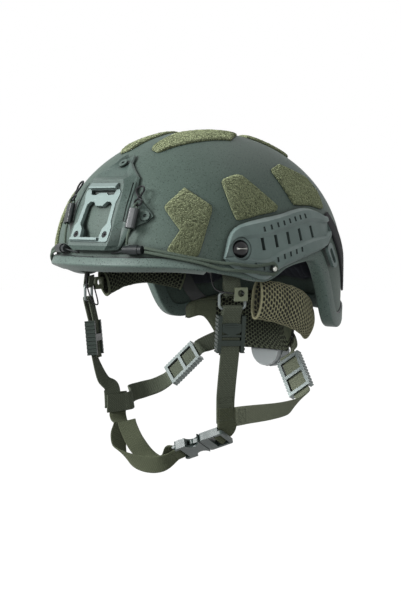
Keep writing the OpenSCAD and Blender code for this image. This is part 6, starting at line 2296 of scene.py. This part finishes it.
    def build_stitches(self, kit: Kit) -> None:
        """Adds the box stitches that hold the straps together.

        Args:
            kit: Adds the pieces.
        """
        left, right = np.array(self.left_wide), np.array(self.right_wide)
        boxes = [
            (self.tail_keys(), 12.3, 5.5, 6.5, False),
            (self.front_keys(self.right_drop, right), 0.6, 4.0, 6.5, True),
            (self.front_keys(self.left_drop, left), 2.1, 3.0, 6.5, False),
            (self.rear_keys(left), 0.45, 4.0, 6.5, False),
            (self.rear_keys(right), 0.45, 4.0, 6.5, True),
            (self.rear_keys(left), 12.4, 3.0, 6.0, False),
            (self.anchor_keys(), 3.2, 5.0, 5.5, False),
            (self.anchor_keys(), 3.2, 5.0, 5.5, True),
        ]
        meshes = []
        for keys, place, half_l, half_w, mirror in boxes:
            starts, ends = box_stitches(keys, place, half_l, half_w)
            meshes.append(stitch_mesh("stitch", mirrored(starts, mirror), mirrored(ends, mirror)))
        kit.place(join_meshes("box_stitches", meshes), "thread", slot="webbing")


STITCH_PITCH = 1.9
STITCH_D = 0.55
STITCH_OFF = 0.12


def box_stitches(keys: Sequence[Key], place: float, half_l: float, half_w: float) -> tuple[Array, Array]:
    """Lays a box of stitches with a cross on both faces of a strap.

    Args:
        keys: Keys of the strap.
        place: Place along the strap, in keys.
        half_l: Half length of the box in mm.
        half_w: Half width of the box in mm.

    Returns:
        Starts and ends of the stitches.
    """
    steps = 12
    line, side, out = strap_axes(keys, steps)
    run = run_along(line)
    middle = np.interp(place * steps, np.arange(len(run)), run)
    corners = [(-1, -1), (1, -1), (1, 1), (-1, 1), (-1, -1), (1, 1), (-1, 1), (1, -1)]
    starts, ends = [], []
    for (a, b), (c, d) in zip(corners[:-1], corners[1:]):
        length = math.hypot((c - a) * half_l, (d - b) * half_w)
        n = max(2, round(length / STITCH_PITCH))
        for rows, share in ((starts, 0.12), (ends, 0.84)):
            s = (np.arange(n) + share) / n
            rows.append(np.stack([(a + (c - a) * s) * half_l, (b + (d - b) * s) * half_w], axis=-1))

    def lay(rows: Sequence[Array], sign: int) -> Array:
        """Carries places along and across the box to points on one face of the strap.

        Args:
            rows: Places as rows of along and across.
            sign: 1 on the outer face, -1 on the inner one.

        Returns:
            Rows of points.
        """
        flat = np.vstack(rows)
        at = np.clip(middle + flat[:, 0], run[0], run[-1])
        point, across, normal = (
            np.stack([np.interp(at, run, values[:, k]) for k in range(3)], axis=-1)
            for values in (line, side, out)
        )
        return point + flat[:, 1:] * across + sign * (MADE.web_t / 2 + STITCH_OFF) * normal

    return np.vstack([lay(starts, 1), lay(starts, -1)]), np.vstack([lay(ends, 1), lay(ends, -1)])


def stitch_mesh(name: str, starts: Array, ends: Array) -> Mesh:
    """Makes short threads as one mesh, each a tube of six sides with narrow ends.

    Args:
        name: Name of the mesh.
        starts: Starts of the threads as rows.
        ends: Their ends.

    Returns:
        The mesh.
    """
    t = unit(ends - starts)
    u = unit(np.cross(t, HINT))
    spoke = spokes(u, np.cross(t, u), 6)
    along = np.array([0.0, 0.18, 0.82, 1.0])
    radius = STITCH_D / 2 * np.array([0.35, 1.0, 1.0, 0.35])
    middle = starts[:, None] + along[None, :, None] * (ends - starts)[:, None]
    points = middle[:, :, None] + radius[None, :, None, None] * spoke[:, None]
    caps = np.array([[0, 1, 2, 3], [0, 3, 4, 5], [18, 19, 20, 21], [18, 21, 22, 23]])
    one = np.vstack([grid_faces(4, 6, True), caps])
    faces = (one[None] + 24 * np.arange(len(starts))[:, None, None]).reshape(-1, 4)
    return build_mesh(name, points, faces)


# Hard pieces that keep the form of their solids


HARD_PIECES = (
    ("shroud_base", "shroud_paint", 0.5), ("shroud_insert", "insert_metal", 0.07),
    ("shroud_screws", "shroud_paint", 0.25), ("insert_screws", "black_steel", 0.12),
    ("rail_left", "rail_plastic", 0.4), ("rail_right", "rail_plastic", 0.4),
    ("rail_bolts", "bolt_steel", 0.2), ("bungee_posts", "bright_steel", 0.1),
    ("bungee_guides", "guide_rubber", 0.35), ("lanyard_locks", "hard_black", 0.3),
    ("nape_cradle", "cradle_plastic", 0.35), ("fit_dial", "dial_plastic", 0.4),
    ("lace_clips", "clip_plastic", 0.35), ("strap_rings", "cam_metal", 0.1),
    ("adjusters", "adjuster_plastic", 0.3), ("adjuster_lever_left", "adjuster_plastic", 0.3),
    ("adjuster_lever_right", "adjuster_plastic", 0.3), ("cam_frames", "cam_metal", 0.3),
    ("cam_lever_left", "cam_metal", 0.3), ("cam_lever_right", "cam_metal", 0.3),
    ("chin_socket", "buckle_plastic", 0.5), ("chin_plug", "buckle_plastic", 0.4),
)
LEVERS = ("adjuster_lever_left", "adjuster_lever_right", "cam_lever_left", "cam_lever_right")
MOVING = {"fit_dial": "dial", "chin_socket": CHIN_BODY, **{lever: lever for lever in LEVERS}}


# Camera, light and floor


@dataclass(frozen=True)
class Lamp:
    """A soft square lamp, in metres and watts."""

    name: str
    at: Triple
    power: float
    size: float
    colour: Triple = (1.0, 1.0, 1.0)


@dataclass(frozen=True)
class Studio:
    """The photograph's camera, soft light and a plain floor."""

    camera_at: Triple = (0.9188, -0.9854, 0.0500)
    target: Triple = (0.0, 0.0, -0.036)
    lens: float = 84.91
    sensor: float = 36.0
    lamp_target: Triple = (0.0, 0.0, -0.02)
    lamps: tuple[Lamp, ...] = (
        Lamp("key", (-0.8, -1.5, 0.75), 43.0, 0.6, (0.98, 0.99, 1.0)),
        Lamp("side", (1.25, -1.35, 0.4), 11.0, 0.7),
        Lamp("rear", (0.1, 0.9, 1.6), 4.0, 0.8),
    )
    air: float = 0.155
    floor_z: float = -0.200
    floor_half: float = 2.5
    floor_grey: float = 0.28
    floor_glow: float = 1.15
    floor_plain: float = 0.88

    def build_camera(self) -> None:
        """Adds the camera of the photograph."""
        camera = bpy.data.cameras.new("camera")
        camera.lens, camera.sensor_width, camera.clip_start = self.lens, self.sensor, 0.05
        obj = add_object("camera", camera)
        obj.location = self.camera_at
        obj.rotation_euler = aim(self.camera_at, self.target)
        bpy.context.scene.camera = obj

    def build_light(self) -> None:
        """Adds the soft lights and the surroundings, white where they are seen and dim as light."""
        for lamp in self.lamps:
            light = bpy.data.lights.new(lamp.name, "AREA")
            light.energy, light.size, light.color = lamp.power, lamp.size, lamp.colour
            obj = add_object(lamp.name, light)
            obj.location = lamp.at
            obj.rotation_euler = aim(lamp.at, self.lamp_target)
        world = bpy.data.worlds.new("studio")
        world.use_nodes = True
        bpy.context.scene.world = world
        g = Graph(world.node_tree)
        shade = world.node_tree.nodes["Background"]
        g.feed(shade.inputs["Color"], (1.0, 1.0, 1.0, 1.0))
        g.feed(shade.inputs["Strength"], g.remap(g.seen_plain(), 0.0, 1.0, self.air, 1.0))
        bpy.context.scene.view_settings.view_transform = "Standard"

    def build_floor(self) -> None:
        """Adds the plain floor: grey paint, mostly covered by white for the rays that see it."""
        half = self.floor_half / MM
        x, y = np.meshgrid(np.linspace(-half, half, 3), np.linspace(-half, half, 3), indexing="ij")
        points = np.stack([x, y, np.full(x.shape, self.floor_z / MM)], axis=-1)
        mesh = build_mesh("floor", points, grid_faces(3, 3, False))
        floor = add_object("floor", mesh)
        material = bpy.data.materials.new("floor_paint")
        material.use_nodes = True
        nodes = material.node_tree.nodes
        g = Graph(material.node_tree)
        paint = nodes["Principled BSDF"]
        paint.inputs["Base Color"].default_value = (*[self.floor_grey] * 3, 1.0)
        paint.inputs["Roughness"].default_value = 0.9
        white = g.add("Emission", None, Color=(1.0, 1.0, 1.0, 1.0), Strength=self.floor_glow)
        mixed = g.add("MixShader")
        share = g.math("MULTIPLY", g.seen_plain(), self.floor_plain)
        for socket, value in zip(mixed.inputs, (share, paint.outputs[0], white.outputs[0])):
            g.feed(socket, value)
        g.feed(nodes["Material Output"].inputs["Surface"], mixed.outputs[0])
        mesh.materials.append(material)


def aim(at: Sequence[float], target: Sequence[float]) -> object:
    """Returns the turn of an object at one point that looks at another."""
    return (Vector(target) - Vector(at)).to_track_quat("-Z", "Y").to_euler()


def main() -> None:
    """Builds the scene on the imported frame."""
    logging.basicConfig(level=logging.INFO, format="%(name)s: %(message)s")
    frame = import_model()
    studio = Studio()
    studio.build_camera()
    kit = Kit(frame, Materials(FINISHES))
    Shell().build(kit)
    for seed, patch in zip(PATCH_SEEDS, PATCHES):
        patch.build(kit, seed)
    Cords().build(kit)
    for node, finish, width in HARD_PIECES:
        kit.bevelled(node, finish, width, MOVING.get(node, ROOT_BODY))
    for pad in PADS:
        pad.build(kit)
    FitBand().build(kit)
    Harness().build(kit)
    studio.build_light()
    studio.build_floor()


if __name__ == "__main__":
    main()
